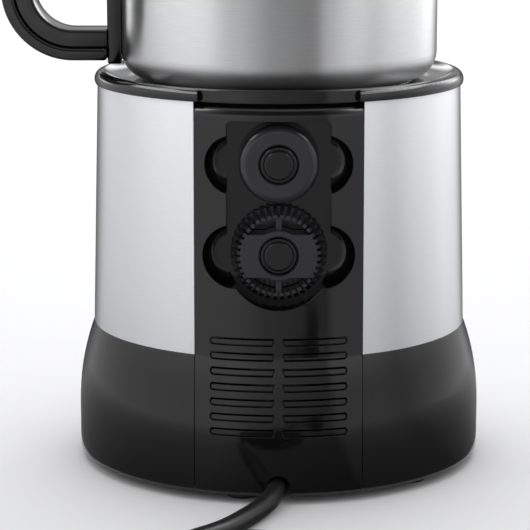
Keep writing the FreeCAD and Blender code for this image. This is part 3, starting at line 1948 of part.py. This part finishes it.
def cord_bush(board_screws):
    """The rubber bush round the lead, the saddle that holds it, and the small screws."""
    r = S.cord_r
    outer = r + S.bush_wall
    end = S.bush_y + S.bush_long
    bush = tube("bush_tube", r + 0.02, outer, S.bush_y, end, z=S.cord_z, along="Y")
    node("cord_bush", bush)
    low = S.plate_z + S.plate_wall
    top = S.cord_z + outer + S.clamp_wall
    saddle = block(
        "saddle", (-S.clamp_half, S.clamp_half), (S.bush_y + 0.5, end - 0.5), (low, top)
    )
    bore = rod("saddle_bore", outer + 0.05, S.bush_y, end, z=S.cord_z, along="Y")
    holes = [
        rod(f"saddle_hole_{i}", S.clamp_screw_r + 0.15, low - 1, top + 1, x, y)
        for i, (x, y, _) in enumerate(clamp_screw_places())
    ]
    node("cord_clamp", cut("clamp", saddle, bore, *holes))
    shank = rod("clamp_shank", S.clamp_screw_r, S.plate_z, top)
    head = rod("clamp_head", 2.4, top, top + 1.6)
    master = fuse("clamp_screw", shank, head)
    clamp_screws = copies("clamp_screw_copy", master, clamp_screw_places())
    node("small_screws", group("small_screw_set", [*board_screws, *clamp_screws]))


def mains_plug():
    neck_x, axis_y, axis_z = TAIL_ROUTE[-1]
    end = neck_x - S.plug_long
    body = turned(
        "plug_blank",
        [
            (0, 0),
            (S.cord_r + 1.5, 0),
            (S.cord_r + 3, 8),
            Bend(14, -1),
            (S.plug_r - 4, 17),
            Bend(4),
            (S.plug_r, 21),
            (S.plug_r, S.plug_long - 1),
            Bend(1),
            (S.plug_r - 1, S.plug_long),
            (0, S.plug_long),
        ],
    )
    place(body, x=neck_x, y=axis_y, z=axis_z, turn=Rotation(Vector(0, 1, 0), -90))
    sockets = [
        rod(
            f"pin_hole_{side + 1}",
            S.pin_r + 0.02,
            end,
            end + 12,
            y=axis_y + S.pin_pitch / 2 * side,
            z=axis_z,
            along="X",
        )
        for side in (-1, 1)
    ]
    node("plug_body", cut("plug", body, *sockets))
    pins = [
        turned(
            f"pin_{side + 1}",
            [
                (0, 0),
                (S.pin_r - 0.8, 0),
                Bend(0.8),
                (S.pin_r, 0.8),
                (S.pin_r, S.pin_long + 11),
                (0, S.pin_long + 11),
            ],
            x=end - S.pin_long,
            y=axis_y + S.pin_pitch / 2 * side,
            z=axis_z,
            along="X",
        )
        for side in (-1, 1)
    ]
    node("plug_pins", group("pins", pins))


# ---------------------------------------------------------------- build, check and write
def check_document():
    doc.recompute()
    failed = [item.Label for item in doc.Objects if {"Invalid", "Error"} & set(item.State)]
    if failed:
        raise RuntimeError(f"these failed: {failed}")
    labels = [item.Label for item in nodes]
    if len(labels) != len(set(labels)):
        raise RuntimeError("two sub-parts share a label")
    bad = [
        item.Label
        for item in nodes
        if item.Shape.isNull() or not item.Shape.isValid() or not item.Shape.Solids
    ]
    if bad:
        raise RuntimeError(f"these have no valid solid: {bad}")


def write_parts():
    os.makedirs("parts", exist_ok=True)
    for item in nodes:
        item.Shape.exportStep(f"parts/{item.Label}.step")
        print(f"{item.Label}: {len(item.Shape.Solids)} solid(s), {item.Shape.Volume:.0f} mm3")


base_skirt()
steel_wrap()
inner_chassis()
rear_panel()
storage_posts()
keeper_plates()
top_cover()
seat_disc()
motor_bracket()
motor()
magnet_carrier()
coil_former()
temperature_sensor()
fan()
base_plate()
rubber_feet()
base_screws()
board_screws = power_board()
board_components(heat_sink())
controls()
control_board()
stirring_disc()
whisk_disc()
jug_body()
jug_spindle()
handle()
lid()
mains_lead()
cord_bush(board_screws)
mains_plug()
check_document()
write_parts()
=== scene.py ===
"""An induction milk frother: base with its disc store, steel jug with a loop handle, mains lead.

Metres. The table is z = 0 and the base's axis is the Z axis. The rear with the disc store and the
lead faces +Y, the controls face -Y and the jug's handle points along +X.
"""
import math

import bpy
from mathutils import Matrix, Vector


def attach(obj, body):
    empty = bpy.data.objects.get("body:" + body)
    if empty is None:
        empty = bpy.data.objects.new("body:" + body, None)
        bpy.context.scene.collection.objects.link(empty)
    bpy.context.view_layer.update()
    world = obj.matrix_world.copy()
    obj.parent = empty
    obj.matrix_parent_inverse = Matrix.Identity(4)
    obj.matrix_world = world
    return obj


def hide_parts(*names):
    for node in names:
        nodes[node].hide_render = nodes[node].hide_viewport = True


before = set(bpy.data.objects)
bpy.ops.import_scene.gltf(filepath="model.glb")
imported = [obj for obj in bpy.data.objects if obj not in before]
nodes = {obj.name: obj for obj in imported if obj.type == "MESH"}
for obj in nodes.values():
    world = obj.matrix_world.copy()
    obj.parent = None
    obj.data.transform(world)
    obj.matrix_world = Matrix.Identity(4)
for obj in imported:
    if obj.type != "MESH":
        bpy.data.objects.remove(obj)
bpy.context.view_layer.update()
scene = bpy.context.scene

# ------------------------------------------------------------------ camera
# A long lens a little above the rear of the base; it looks down along -Y, slightly to one side
# of the axis. Metres, degrees, and millimetres for the lens.
CAMERA_BACK = 0.869
CAMERA_UP = 0.247
LOOK_DOWN = 11.46
LOOK_ASIDE = 0.34
SENSOR_WIDTH = 36
LENS_LENGTH = 160.2
camera = bpy.data.objects.new("camera", bpy.data.cameras.new("camera"))
scene.collection.objects.link(camera)
camera.location = (0.0, CAMERA_BACK, CAMERA_UP)
camera.rotation_euler = (math.radians(90 - LOOK_DOWN), 0, math.radians(180 + LOOK_ASIDE))
camera.data.sensor_width = SENSOR_WIDTH
camera.data.lens = LENS_LENGTH
scene.camera = camera

# ------------------------------------------------------------------ mains lead
# Three-core lead in a round black PVC sheath, extruded, 7 mm across. It leaves the notch in the
# rear panel, drops to the table and runs to a neat coil; its end rises to the plug's axis. The route's
# points are metres and the spline's control points.
LEAD_THICK = 0.007
lead_route = [
    (0.0, 0.058, 0.0066),
    (0.0, 0.069, 0.0066),
    (0.0016, 0.08, 0.0049),
    (0.0062, 0.0905, 0.0036),
    (0.012, 0.1025, 0.0035),
    (0.0186, 0.1145, 0.0035),
    (0.0295, 0.1255, 0.0035),
    (0.03948, 0.14046, 0.0035),
    (0.0431, 0.15398, 0.0035),
]
tail_route = [
    (0.00227, 0.23734, 0.00956),
    (-0.00856, 0.24359, 0.00956),
    (-0.01976, 0.24723, 0.01185),
    (-0.0308, 0.24859, 0.01635),
    (-0.0418, 0.24859, 0.0185),
    (-0.053, 0.24859, 0.0185),
]
# The coil: turn in degrees, radius and height of the sheath's centre. The first turn lies outside,
# the second inside it, and the rest on top of the two.
COIL_CENTRE = (0.009, 0.189)
TURN_POINTS = 16
coil_stages = [
    (-15, 0.042, 0.0035),
    (275, 0.042, 0.0035),
    (345, 0.035, 0.0035),
    (585, 0.035, 0.0035),
    (650, 0.035, 0.0098),
    (677, 0.0365, 0.0108),
    (705, 0.0385, 0.0097),
    (930, 0.0385, 0.0096),
    (945, 0.0396, 0.0103),
    (975, 0.0423, 0.0106),
    (1010, 0.0425, 0.0106),
    (1037, 0.0439, 0.0104),
    (1065, 0.0457, 0.0097),
    (1125, 0.0460, 0.0096),
]


def between(stages, turn):
    """Radius and height at a turn, in even steps between the stages."""
    for (a, r0, z0), (b, r1, z1) in zip(stages, stages[1:]):
        if turn <= b:
            part = (turn - a) / (b - a)
            return r0 + (r1 - r0) * part, z0 + (z1 - z0) * part
    return stages[-1][1:]


def coil_route(stages, centre):
    """Control points round the coil; the spline runs a little inside its control points."""
    outward = 1 / math.cos(math.pi / TURN_POINTS)
    first, last = stages[0][0], stages[-1][0]
    steps = round((last - first) / 360 * TURN_POINTS)
    points = []
    for step in range(steps + 1):
        turn = first + (last - first) * step / steps
        radius, height = between(stages, turn)
        angle = math.radians(turn)
        x = centre[0] + radius * outward * math.cos(angle)
        y = centre[1] + radius * outward * math.sin(angle)
        points.append((x, y, height))
    return points


def linear(code):
    """The linear colour of an sRGB hex code."""
    parts = [int(code[i:i + 2], 16) / 255 for i in (1, 3, 5)]
    return [p / 12.92 if p <= 0.04045 else ((p + 0.055) / 1.055) ** 2.4 for p in parts] + [1.0]


def add(material, kind, inputs=None, **settings):
    """Add a shader node; an input is a value or another node's output."""
    made = material.node_tree.nodes.new("ShaderNode" + kind)
    for name, value in settings.items():
        setattr(made, name, value)
    for name, value in (inputs or {}).items():
        if isinstance(value, bpy.types.NodeSocket):
            material.node_tree.links.new(value, made.inputs[name])
        else:
            made.inputs[name].default_value = value
    return made


def new_material(name, **values):
    """A material with its Principled shader's sockets set."""
    material = bpy.data.materials.new(name)
    material.use_nodes = True
    shader = material.node_tree.nodes["Principled BSDF"]
    for socket, value in values.items():
        shader.inputs[socket.replace("_", " ")].default_value = value
    return material, shader


def mottle(material, shader, size, low, high, depth=0.0, rough=None, edge=0.0):
    """Vary a surface over patches of a size in metres: colour, roughness and height. An edge
    rounds sharp corners to that radius."""
    place = add(material, "TexCoord").outputs["Object"]
    scaled = add(material, "Mapping", {"Vector": place, "Scale": [1 / size] * 3})
    noise = add(material, "TexNoise", {"Vector": scaled.outputs[0], "Scale": 1.0, "Detail": 3.0})
    ramp = add(material, "Mix", {"Factor": noise.outputs["Fac"]}, data_type="RGBA")
    ramp.inputs[6].default_value = linear(low)
    ramp.inputs[7].default_value = linear(high)
    link = material.node_tree.links.new
    link(ramp.outputs[2], shader.inputs["Base Color"])
    if rough:
        spread = add(
            material,
            "MapRange",
            {"Value": noise.outputs["Fac"], "To Min": rough[0], "To Max": rough[1]},
        )
        link(spread.outputs[0], shader.inputs["Roughness"])
    if depth:
        bump = add(material, "Bump", {"Height": noise.outputs["Fac"], "Distance": depth})
        bump.inputs["Strength"].default_value = 1.0
        link(bump.outputs[0], shader.inputs["Normal"])
        if edge:
            rounded = add(material, "Bevel", {"Radius": edge}, samples=6)
            link(rounded.outputs[0], bump.inputs["Normal"])


def pvc_sheath():
    """Extruded plasticised PVC: a soft sheen, with faint unevenness 3 mm across."""
    material, shader = new_material("black_pvc_sheath", IOR=1.53)
    mottle(
        material, shader, size=0.003, low="#101011", high="#1a1a1b", depth=0.00003,
        rough=(0.34, 0.44),
    )
    return material


lead_material = pvc_sheath()
line = bpy.data.curves.new("mains_lead", "CURVE")
line.dimensions = "3D"
line.bevel_depth = LEAD_THICK / 2
line.bevel_resolution = 8
line.resolution_u = 10
line.use_fill_caps = True
spline = line.splines.new("NURBS")
route = lead_route + coil_route(coil_stages, COIL_CENTRE) + tail_route
spline.points.add(len(route) - 1)
for point, place in zip(spline.points, route):
    point.co = (*place, 1)
spline.order_u = 3
spline.use_endpoint_u = True
lead = bpy.data.objects.new("lead_sheath", line)
scene.collection.objects.link(lead)
line.materials.append(lead_material)
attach(lead, "base")
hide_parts("mains_lead", "lead_coil", "lead_tail")


def finish_node(material, *names, smooth=30):
    """Give a carried node its material; edges flatter than smooth degrees are shaded round."""
    for name in names:
        mesh = nodes[name].data
        mesh.materials.clear()
        mesh.materials.append(material)
        mesh.shade_smooth()
        mesh.set_sharp_from_angle(angle=math.radians(smooth))


def rubber():
    """Moulded soft rubber: matt, with a fine grain."""
    material, shader = new_material("moulded_rubber", IOR=1.52)
    mottle(
        material, shader, size=0.0006, low="#141415", high="#202021", depth=0.00002,
        rough=(0.55, 0.7),
    )
    return material


def nickel():
    """Nickel plated brass: bright, slightly warm metal, turned."""
    material, shader = new_material("nickel_plate", Metallic=1.0)
    mottle(material, shader, size=0.002, low="#b9b4a8", high="#cfcabf", rough=(0.2, 0.3))
    return material


rubber_material = rubber()
finish_node(rubber_material, "plug_body", "cord_bush")
finish_node(nickel(), "plug_pins")

# ------------------------------------------------------------------ table and light
# A plain pale table in a pale room. One soft box hangs over the frother and one lights the far
# part of the table.
FLOOR_HALF = 3.0


def sheet_of_floor(half):
    mesh = bpy.data.meshes.new("table_top")
    corners = [(-half, -half, 0), (half, -half, 0), (half, half, 0), (-half, half, 0)]
    mesh.from_pydata(corners, [], [(0, 1, 2, 3)])
    return bpy.data.objects.new("table_top", mesh)


def painted_board():
    """Painted board: matt, very pale grey, cloudy over 400 mm."""
    material, shader = new_material("painted_board", Specular_IOR_Level=0.0)
    mottle(material, shader, size=0.4, low="#eeeeef", high="#f2f2f3", rough=(0.55, 0.65))
    return material


floor = sheet_of_floor(FLOOR_HALF)
floor.data.materials.append(painted_board())
scene.collection.objects.link(floor)


def soft_box(name, place, aim, wide, tall, power):
    """A lamp behind cloth; metres and watts."""
    lamp = bpy.data.lights.new(name, "AREA")
    lamp.shape = "RECTANGLE"
    lamp.size = wide
    lamp.size_y = tall
    lamp.energy = power
    box = bpy.data.objects.new(name, lamp)
    box.location = place
    box.visible_camera = False
    box.visible_glossy = False
    box.rotation_euler = (Vector(aim) - Vector(place)).to_track_quat("-Z", "Y").to_euler()
    scene.collection.objects.link(box)


soft_box("over_box", place=(0.0, -0.25, 1.3), aim=(0, 0, 0.1), wide=1.2, tall=1.0, power=4)
soft_box("far_box", place=(0.0, -1.7, 1.2), aim=(0, -1.5, 0), wide=3.0, tall=1.6, power=14)
# The display keeps plain sRGB tones, so that a white table stays white.
scene.view_settings.view_transform = "Standard"

# A ring of screens stands round the frother on a sheet whose glow dims towards the frother, painted
# floor shade; both show only in reflections. Each bearing is in degrees from the camera's side,
# positive to its right; flags hang at the dark ones.
RING_RADIUS = 0.33
RING_TALL = 0.55
RING_SIDES = 180
# The sheet that carries the painted floor shade starts at this radius, just above the table.
SHADE_SHEET_RADIUS = 0.08
SHADE_SHEET_HEIGHT = 0.0008
COOLNESS = 1.015
ring_tones = [
    (-180, 0.8), (-174, 0.14), (-152, 0.08), (-141, 0.28), (-130, 0.62), (-108, 0.72),
    (-80, 0.80), (-59, 0.82), (-25, 0.80), (-6, 0.46), (26, 0.28), (29, 0.62), (54, 0.60),
    (68, 0.48), (84, 0.66), (112, 0.88), (134, 0.80), (145, 0.28), (155, 0.08), (174, 0.14),
    (180, 0.8),
]


def ring_mesh():
    """The sheet's disc, which carries painted floor shade, runs from its inner radius out to the wall,
    which rises from it.
    """
    mesh = bpy.data.meshes.new("ring_of_screens")
    profile = (
        (SHADE_SHEET_RADIUS, SHADE_SHEET_HEIGHT), (RING_RADIUS, SHADE_SHEET_HEIGHT), (RING_RADIUS, RING_TALL),
    )
    points = []
    for side in range(RING_SIDES):
        angle = 2 * math.pi * side / RING_SIDES
        for reach, height in profile:
            points.append((reach * math.cos(angle), reach * math.sin(angle), height))
    count = len(points)
    faces = []
    for first in range(0, count, len(profile)):
        after = first + len(profile)
        for band in range(len(profile) - 1):
            low, high = first + band, first + band + 1
            faces.append((low, high, (after + band + 1) % count, (after + band) % count))
    mesh.from_pydata(points, [], faces)
    return mesh


def lit_screens(tones):
    """Lit white cloth with grey flags over a sheet that glows dimmer towards the frother, painted
    floor shade: the tone follows the bearing, and it is brighter above.
    """
    material = bpy.data.materials.new("screens_and_painted_floor_shade")
    material.use_nodes = True
    material.node_tree.nodes.clear()
    place = add(material, "TexCoord").outputs["Object"]
    across = add(material, "SeparateXYZ", {0: place}).outputs
    left = add(material, "Math", {0: across["X"], 1: -1.0}, operation="MULTIPLY").outputs[0]
    bearing = add(material, "Math", {0: left, 1: across["Y"]}, operation="ARCTAN2").outputs[0]
    part = add(
        material, "MapRange", {"Value": bearing, "From Min": -math.pi, "From Max": math.pi}
    )
    ramp = add(material, "ValToRGB", {"Fac": part.outputs[0]})
    stops = ramp.color_ramp.elements
    stops[0].position, stops[1].position = 0.0, 1.0
    for angle, tone in tones[1:-1]:
        stops.new((angle + 180) / 360)
    for stop, (angle, tone) in zip(stops, tones):
        stop.color = (tone, tone, tone * COOLNESS, 1)

    level = add(material, "CombineXYZ", {"X": across["X"], "Y": across["Y"]}).outputs[0]
    reach = add(material, "VectorMath", {0: level}, operation="LENGTH").outputs["Value"]
    aside = add(material, "Math", {0: across["X"]}, operation="ABSOLUTE").outputs[0]
    # What each part of the stage follows, from where to where in metres, and its factor there:
    # the sheet under the screens glows dimmer towards the frother as painted floor shade, the screens
    # brighten upward and more on one side, the backdrop and two high strip lights add to them, and
    # above the camera's side it is dark.
    spans = {
        "painted_floor_shade": (reach, 0.09, 0.33, 0.20, 1.0),
        "more": (across["X"], -0.20, 0.20, 0.8, 0.45),
        "high": (across["Z"], 0.07, 0.20, 0.0, 1.0),
        "backdrop": (across["Y"], -0.22, -0.12, 3.2, 0.0),
        "backdrop_high": (across["Z"], 0.16, 0.20, 0.0, 1.0),
        "strips": (aside, 0.23, 0.27, 0.0, 5.0),
        "strips_high": (across["Z"], 0.32, 0.35, 0.0, 1.0),
        "dark": (across["Y"], 0.20, 0.30, 0.0, 0.85),
        "dark_high": (across["Z"], 0.16, 0.24, 0.0, 1.0),
    }
    factor = {"one": 1.0}
    for name, (follows, start, end, low, high) in spans.items():
        limits = {"From Min": start, "From Max": end, "To Min": low, "To Max": high}
        # The painted floor shade fades in evenly towards the frother; the other spans ease in and out.
        kind = "LINEAR" if name == "painted_floor_shade" else "SMOOTHSTEP"
        span = add(material, "MapRange", {"Value": follows, **limits}, interpolation_type=kind)
        factor[name] = span.outputs[0]
    steps = [
        ("lift", "more", "MULTIPLY", "high"),
        ("rise", "lift", "ADD", "one"),
        # The wall and the sheet, the sheet dimmed towards the frother by the painted floor shade.
        ("wall", "rise", "MULTIPLY", "painted_floor_shade"),
        ("behind", "backdrop", "MULTIPLY", "backdrop_high"),
        ("beside", "strips", "MULTIPLY", "strips_high"),
        ("extra", "behind", "ADD", "beside"),
        ("lit", "wall", "ADD", "extra"),
        ("shade", "dark", "MULTIPLY", "dark_high"),
        ("open", "one", "SUBTRACT", "shade"),
        ("strength", "lit", "MULTIPLY", "open"),
    ]
    for name, first, operation, second in steps:
        sources = {0: factor[first], 1: factor[second]}
        factor[name] = add(material, "Math", sources, operation=operation).outputs[0]
    glow = add(
        material, "Emission", {"Color": ramp.outputs[0], "Strength": factor["strength"]}
    )
    add(material, "OutputMaterial", {"Surface": glow.outputs[0]})
    return material


ring = bpy.data.objects.new("ring_of_screens", ring_mesh())
ring.data.materials.append(lit_screens(ring_tones))
ring.visible_camera = False
ring.visible_diffuse = False
ring.visible_shadow = False
scene.collection.objects.link(ring)

# The pale room gives the rest of the light.
world = bpy.data.worlds.new("pale_room")
world.use_nodes = True
scene.world = world
sky = world.node_tree.nodes["Background"]
sky.inputs["Color"].default_value = linear("#fafafb")
sky.inputs["Strength"].default_value = 0.82

# ------------------------------------------------------------------ base skirt and base plate
# The flared foot is one injection moulding in black ABS, polished in the tool. The matt base
# plate closes it below and stands on six rubber feet.
def gloss_abs(name, low="#060607", high="#09090a", rough=(0.06, 0.10)):
    """ABS polished in the tool: near black and glossy, with a faint waviness 12 mm across and
    corners rounded to 0.3 mm."""
    material, shader = new_material(name, IOR=1.54)
    mottle(
        material, shader, size=0.012, low=low, high=high, depth=0.000008, rough=rough,
        edge=0.0003,
    )
    return material


def matt_abs():
    """ABS from a spark-eroded tool: an even fine grain of 0.4 mm that kills the gloss."""
    material, shader = new_material("matt_abs", IOR=1.54)
    mottle(
        material, shader, size=0.0004, low="#151516", high="#1d1d1e", depth=0.00002,
        rough=(0.42, 0.52),
    )
    return material


gloss_material = gloss_abs("gloss_abs")
matt_material = matt_abs()
finish_node(gloss_material, "base_skirt")
finish_node(matt_material, "base_plate", "cord_clamp")
finish_node(rubber_material, "rubber_feet")

# ------------------------------------------------------------------ power board and fan
# Green glass-epoxy boards with moulded parts and a finned aluminium heat sink. The fan draws air
# through the vents.
def plain(name, low, high, size=0.004, rough=(0.4, 0.5), **values):
    """A finish whose tone and gloss vary a little over patches of a size in metres."""
    material, shader = new_material(name, **values)
    mottle(material, shader, size, low, high, rough=rough)
    return material


board_material = plain("solder_mask", "#0d4022", "#12502b", size=0.003, rough=(0.25, 0.4))
part_material = plain("moulded_components", "#2b2722", "#5a4630", size=0.012)
aluminium_material = plain("extruded_aluminium", "#b8babd", "#c9cacc", size=0.002, Metallic=1.0)
zinc_material = plain("zinc_plated_steel", "#a3a7ab", "#c0c2c4", size=0.003, Metallic=1.0)
fan_metal = plain("bright_fan_hub", "#8e9297", "#b4b7ba", Metallic=1.0, rough=(0.25, 0.35))
finish_node(board_material, "power_board", "control_board")
finish_node(part_material, "board_components", "switches_and_lamps")
finish_node(aluminium_material, "heat_sink", "sensor_cap")
finish_node(matt_material, "fan_frame")
finish_node(fan_metal, "fan_rotor")
finish_node(
    zinc_material, "fan_screws", "base_screws", "small_screws", "motor_screws", "keeper_plates",
    "motor_bracket", "motor_can", "motor_shaft", "sensor_spring",
)

# ------------------------------------------------------------------ chassis, drive and coil
# The chassis is moulded in natural polypropylene. The motor turns a carrier of six magnets under
# the seat; around it lies the induction coil on its former with ferrite bars.
natural_material = plain("natural_polypropylene", "#c9c5b8", "#d4d1c6", size=0.006)
ferrite_material = plain("sintered_ferrite", "#1c1d1f", "#2a2b2d", size=0.002, rough=(0.5, 0.65))
copper_material = plain("enamelled_copper", "#8a4a26", "#b0683a", size=0.0012, Metallic=1.0)
mica_material = plain("pressed_mica", "#c3b99c", "#d8cfb6", size=0.002, rough=(0.35, 0.5))
bronze_material = plain("sintered_bronze", "#8d6b3c", "#a58350", size=0.001, Metallic=1.0)
magnet_material = plain("nickel_magnet", "#a9abac", "#bfc0c1", size=0.002, Metallic=1.0)
finish_node(natural_material, "inner_chassis", "magnet_carrier", "coil_former", "sensor_holder")
finish_node(ferrite_material, "ferrite_bars", "motor_magnets")
finish_node(copper_material, "induction_coil", "motor_armature")
finish_node(mica_material, "insulation_sheet")
finish_node(bronze_material, "motor_bushes")
finish_node(magnet_material, "drive_magnets", "stirring_disc_magnet", "whisk_disc_magnets")

# ------------------------------------------------------------------ steel wrap
# A sheet of stainless steel, brushed along its length and rolled round the chassis between the
# skirt and the rim.
def brushed_steel(name, low, high, line_gap, rough, stretch, depth):
    """Stainless steel brushed along a belt: lines round the axis, line_gap metres apart, which
    smear every reflection upright. stretch sets how short the lines are."""
    material, shader = new_material(name, Metallic=1.0, Anisotropic=0.92)
    shader.inputs["Anisotropic Rotation"].default_value = 0.25
    place = add(material, "TexCoord").outputs["Object"]
    parts = add(material, "SeparateXYZ", {0: place})
    turn = add(
        material, "Math", {0: parts.outputs["Y"], 1: parts.outputs["X"]}, operation="ARCTAN2"
    )
    around = add(material, "Math", {0: turn.outputs[0], 1: stretch}, operation="MULTIPLY")
    upright = add(
        material, "Math", {0: parts.outputs["Z"], 1: 1 / line_gap}, operation="MULTIPLY"
    )
    where = add(
        material, "CombineXYZ", {"X": around.outputs[0], "Y": upright.outputs[0], "Z": 0.0}
    )
    lines = add(
        material, "TexNoise", {"Vector": where.outputs[0], "Scale": 1.0, "Detail": 4.0}
    )
    mix = add(material, "Mix", {"Factor": lines.outputs["Fac"]}, data_type="RGBA")
    mix.inputs[6].default_value = linear(low)
    mix.inputs[7].default_value = linear(high)
    spread = add(
        material,
        "MapRange",
        {"Value": lines.outputs["Fac"], "To Min": rough[0], "To Max": rough[1]},
    )
    bump = add(material, "Bump", {"Height": lines.outputs["Fac"], "Distance": depth})
    tangent = add(material, "Tangent", direction_type="RADIAL", axis="Z")
    link = material.node_tree.links.new
    link(mix.outputs[2], shader.inputs["Base Color"])
    link(spread.outputs[0], shader.inputs["Roughness"])
    link(bump.outputs[0], shader.inputs["Normal"])
    link(tangent.outputs[0], shader.inputs["Tangent"])
    return material


wrap_material = brushed_steel(
    "brushed_steel_wrap", low="#dfe0e2", high="#eaebed", line_gap=0.0003, rough=(0.28, 0.34),
    stretch=12.0, depth=0.000003,
)
finish_node(wrap_material, "steel_wrap")

# ------------------------------------------------------------------ rear panel and disc store
# The panel is moulded in black ABS from a polished tool. Two posts in its store carry the discs.
panel_material = gloss_abs("polished_abs_panel", "#0a0a0b", "#0d0d0e", rough=(0.09, 0.14))
finish_node(panel_material, "rear_panel")
finish_node(gloss_material, "storage_posts")

# ------------------------------------------------------------------ top cover and seat
# The rim and the dished deck are one gloss moulding; the seat is polished black glass ceramic.
glass_material = plain(
    "glass_ceramic", "#060607", "#0a0a0b", size=0.004, rough=(0.05, 0.08), IOR=1.54
)
finish_node(gloss_material, "top_cover")
finish_node(glass_material, "seat_disc")

# ------------------------------------------------------------------ stirring disc and whisk disc
# Both are moulded in black polypropylene, a little greyer and less glossy than the panel, and
# are held on their posts by magnets.
disc_material = gloss_abs("black_polypropylene", "#232327", "#2b2b2f", rough=(0.16, 0.24))
finish_node(disc_material, "stirring_disc", "whisk_disc")

# ------------------------------------------------------------------ controls
# A gloss fascia in the front of the skirt with three matt buttons and their lamps.
lens_material = plain("frosted_lens", "#c4ccd2", "#d5dce0", size=0.002, rough=(0.2, 0.3), IOR=1.49)
finish_node(gloss_material, "control_fascia")
finish_node(matt_material, "start_button", "mode_button", "temperature_button")
finish_node(lens_material, "indicator_lenses")

# ------------------------------------------------------------------ jug, handle and lid
# The jug is deep drawn from stainless steel, brushed round, with a pressed spout. Its loop handle
# is a glossy band over a core of the same plastic; the lid is clear with a silicone seal.
jug_material = brushed_steel(
    "brushed_steel_jug", low="#c2c3c4", high="#d8d8d8", line_gap=0.0005, rough=(0.29, 0.36),
    stretch=6.0, depth=0.000005,
)
finish_node(jug_material, "jug_body", "jug_spindle")
grip_material = gloss_abs("gloss_handle", rough=(0.08, 0.13))
core_material = gloss_abs("handle_core_abs", "#08080a", "#0b0b0d", rough=(0.12, 0.18))
finish_node(grip_material, "handle_grip", "handle_spine")
finish_node(core_material, "handle_core")


def round_edges(name, radius):
    """Round the sharp edges of a moulding; flat faces are joined first so that they round well."""
    piece = nodes[name]
    welded = piece.modifiers.new("welded_seams", "WELD")
    welded.merge_threshold = 0.00001
    joined = piece.modifiers.new("joined_faces", "DECIMATE")
    joined.decimate_type = "DISSOLVE"
    joined.angle_limit = math.radians(0.5)
    rounded = piece.modifiers.new("rounded_edges", "BEVEL")
    rounded.width = radius
    rounded.segments = 4
    rounded.limit_method = "ANGLE"
    rounded.angle_limit = math.radians(50)


round_edges("handle_grip", 0.0012)
round_edges("handle_core", 0.0009)
round_edges("handle_spine", 0.0009)
silicone_material = plain("silicone", "#b9bbbd", "#c6c8ca", size=0.003, rough=(0.5, 0.6), IOR=1.41)
clear_material, clear_shader = new_material("clear_copolyester", IOR=1.53, Roughness=0.05)
clear_shader.inputs["Transmission Weight"].default_value = 1.0
clear_shader.inputs["Base Color"].default_value = linear("#dfe3e6")
finish_node(clear_material, "lid", "lid_cap")
finish_node(silicone_material, "lid_seal")
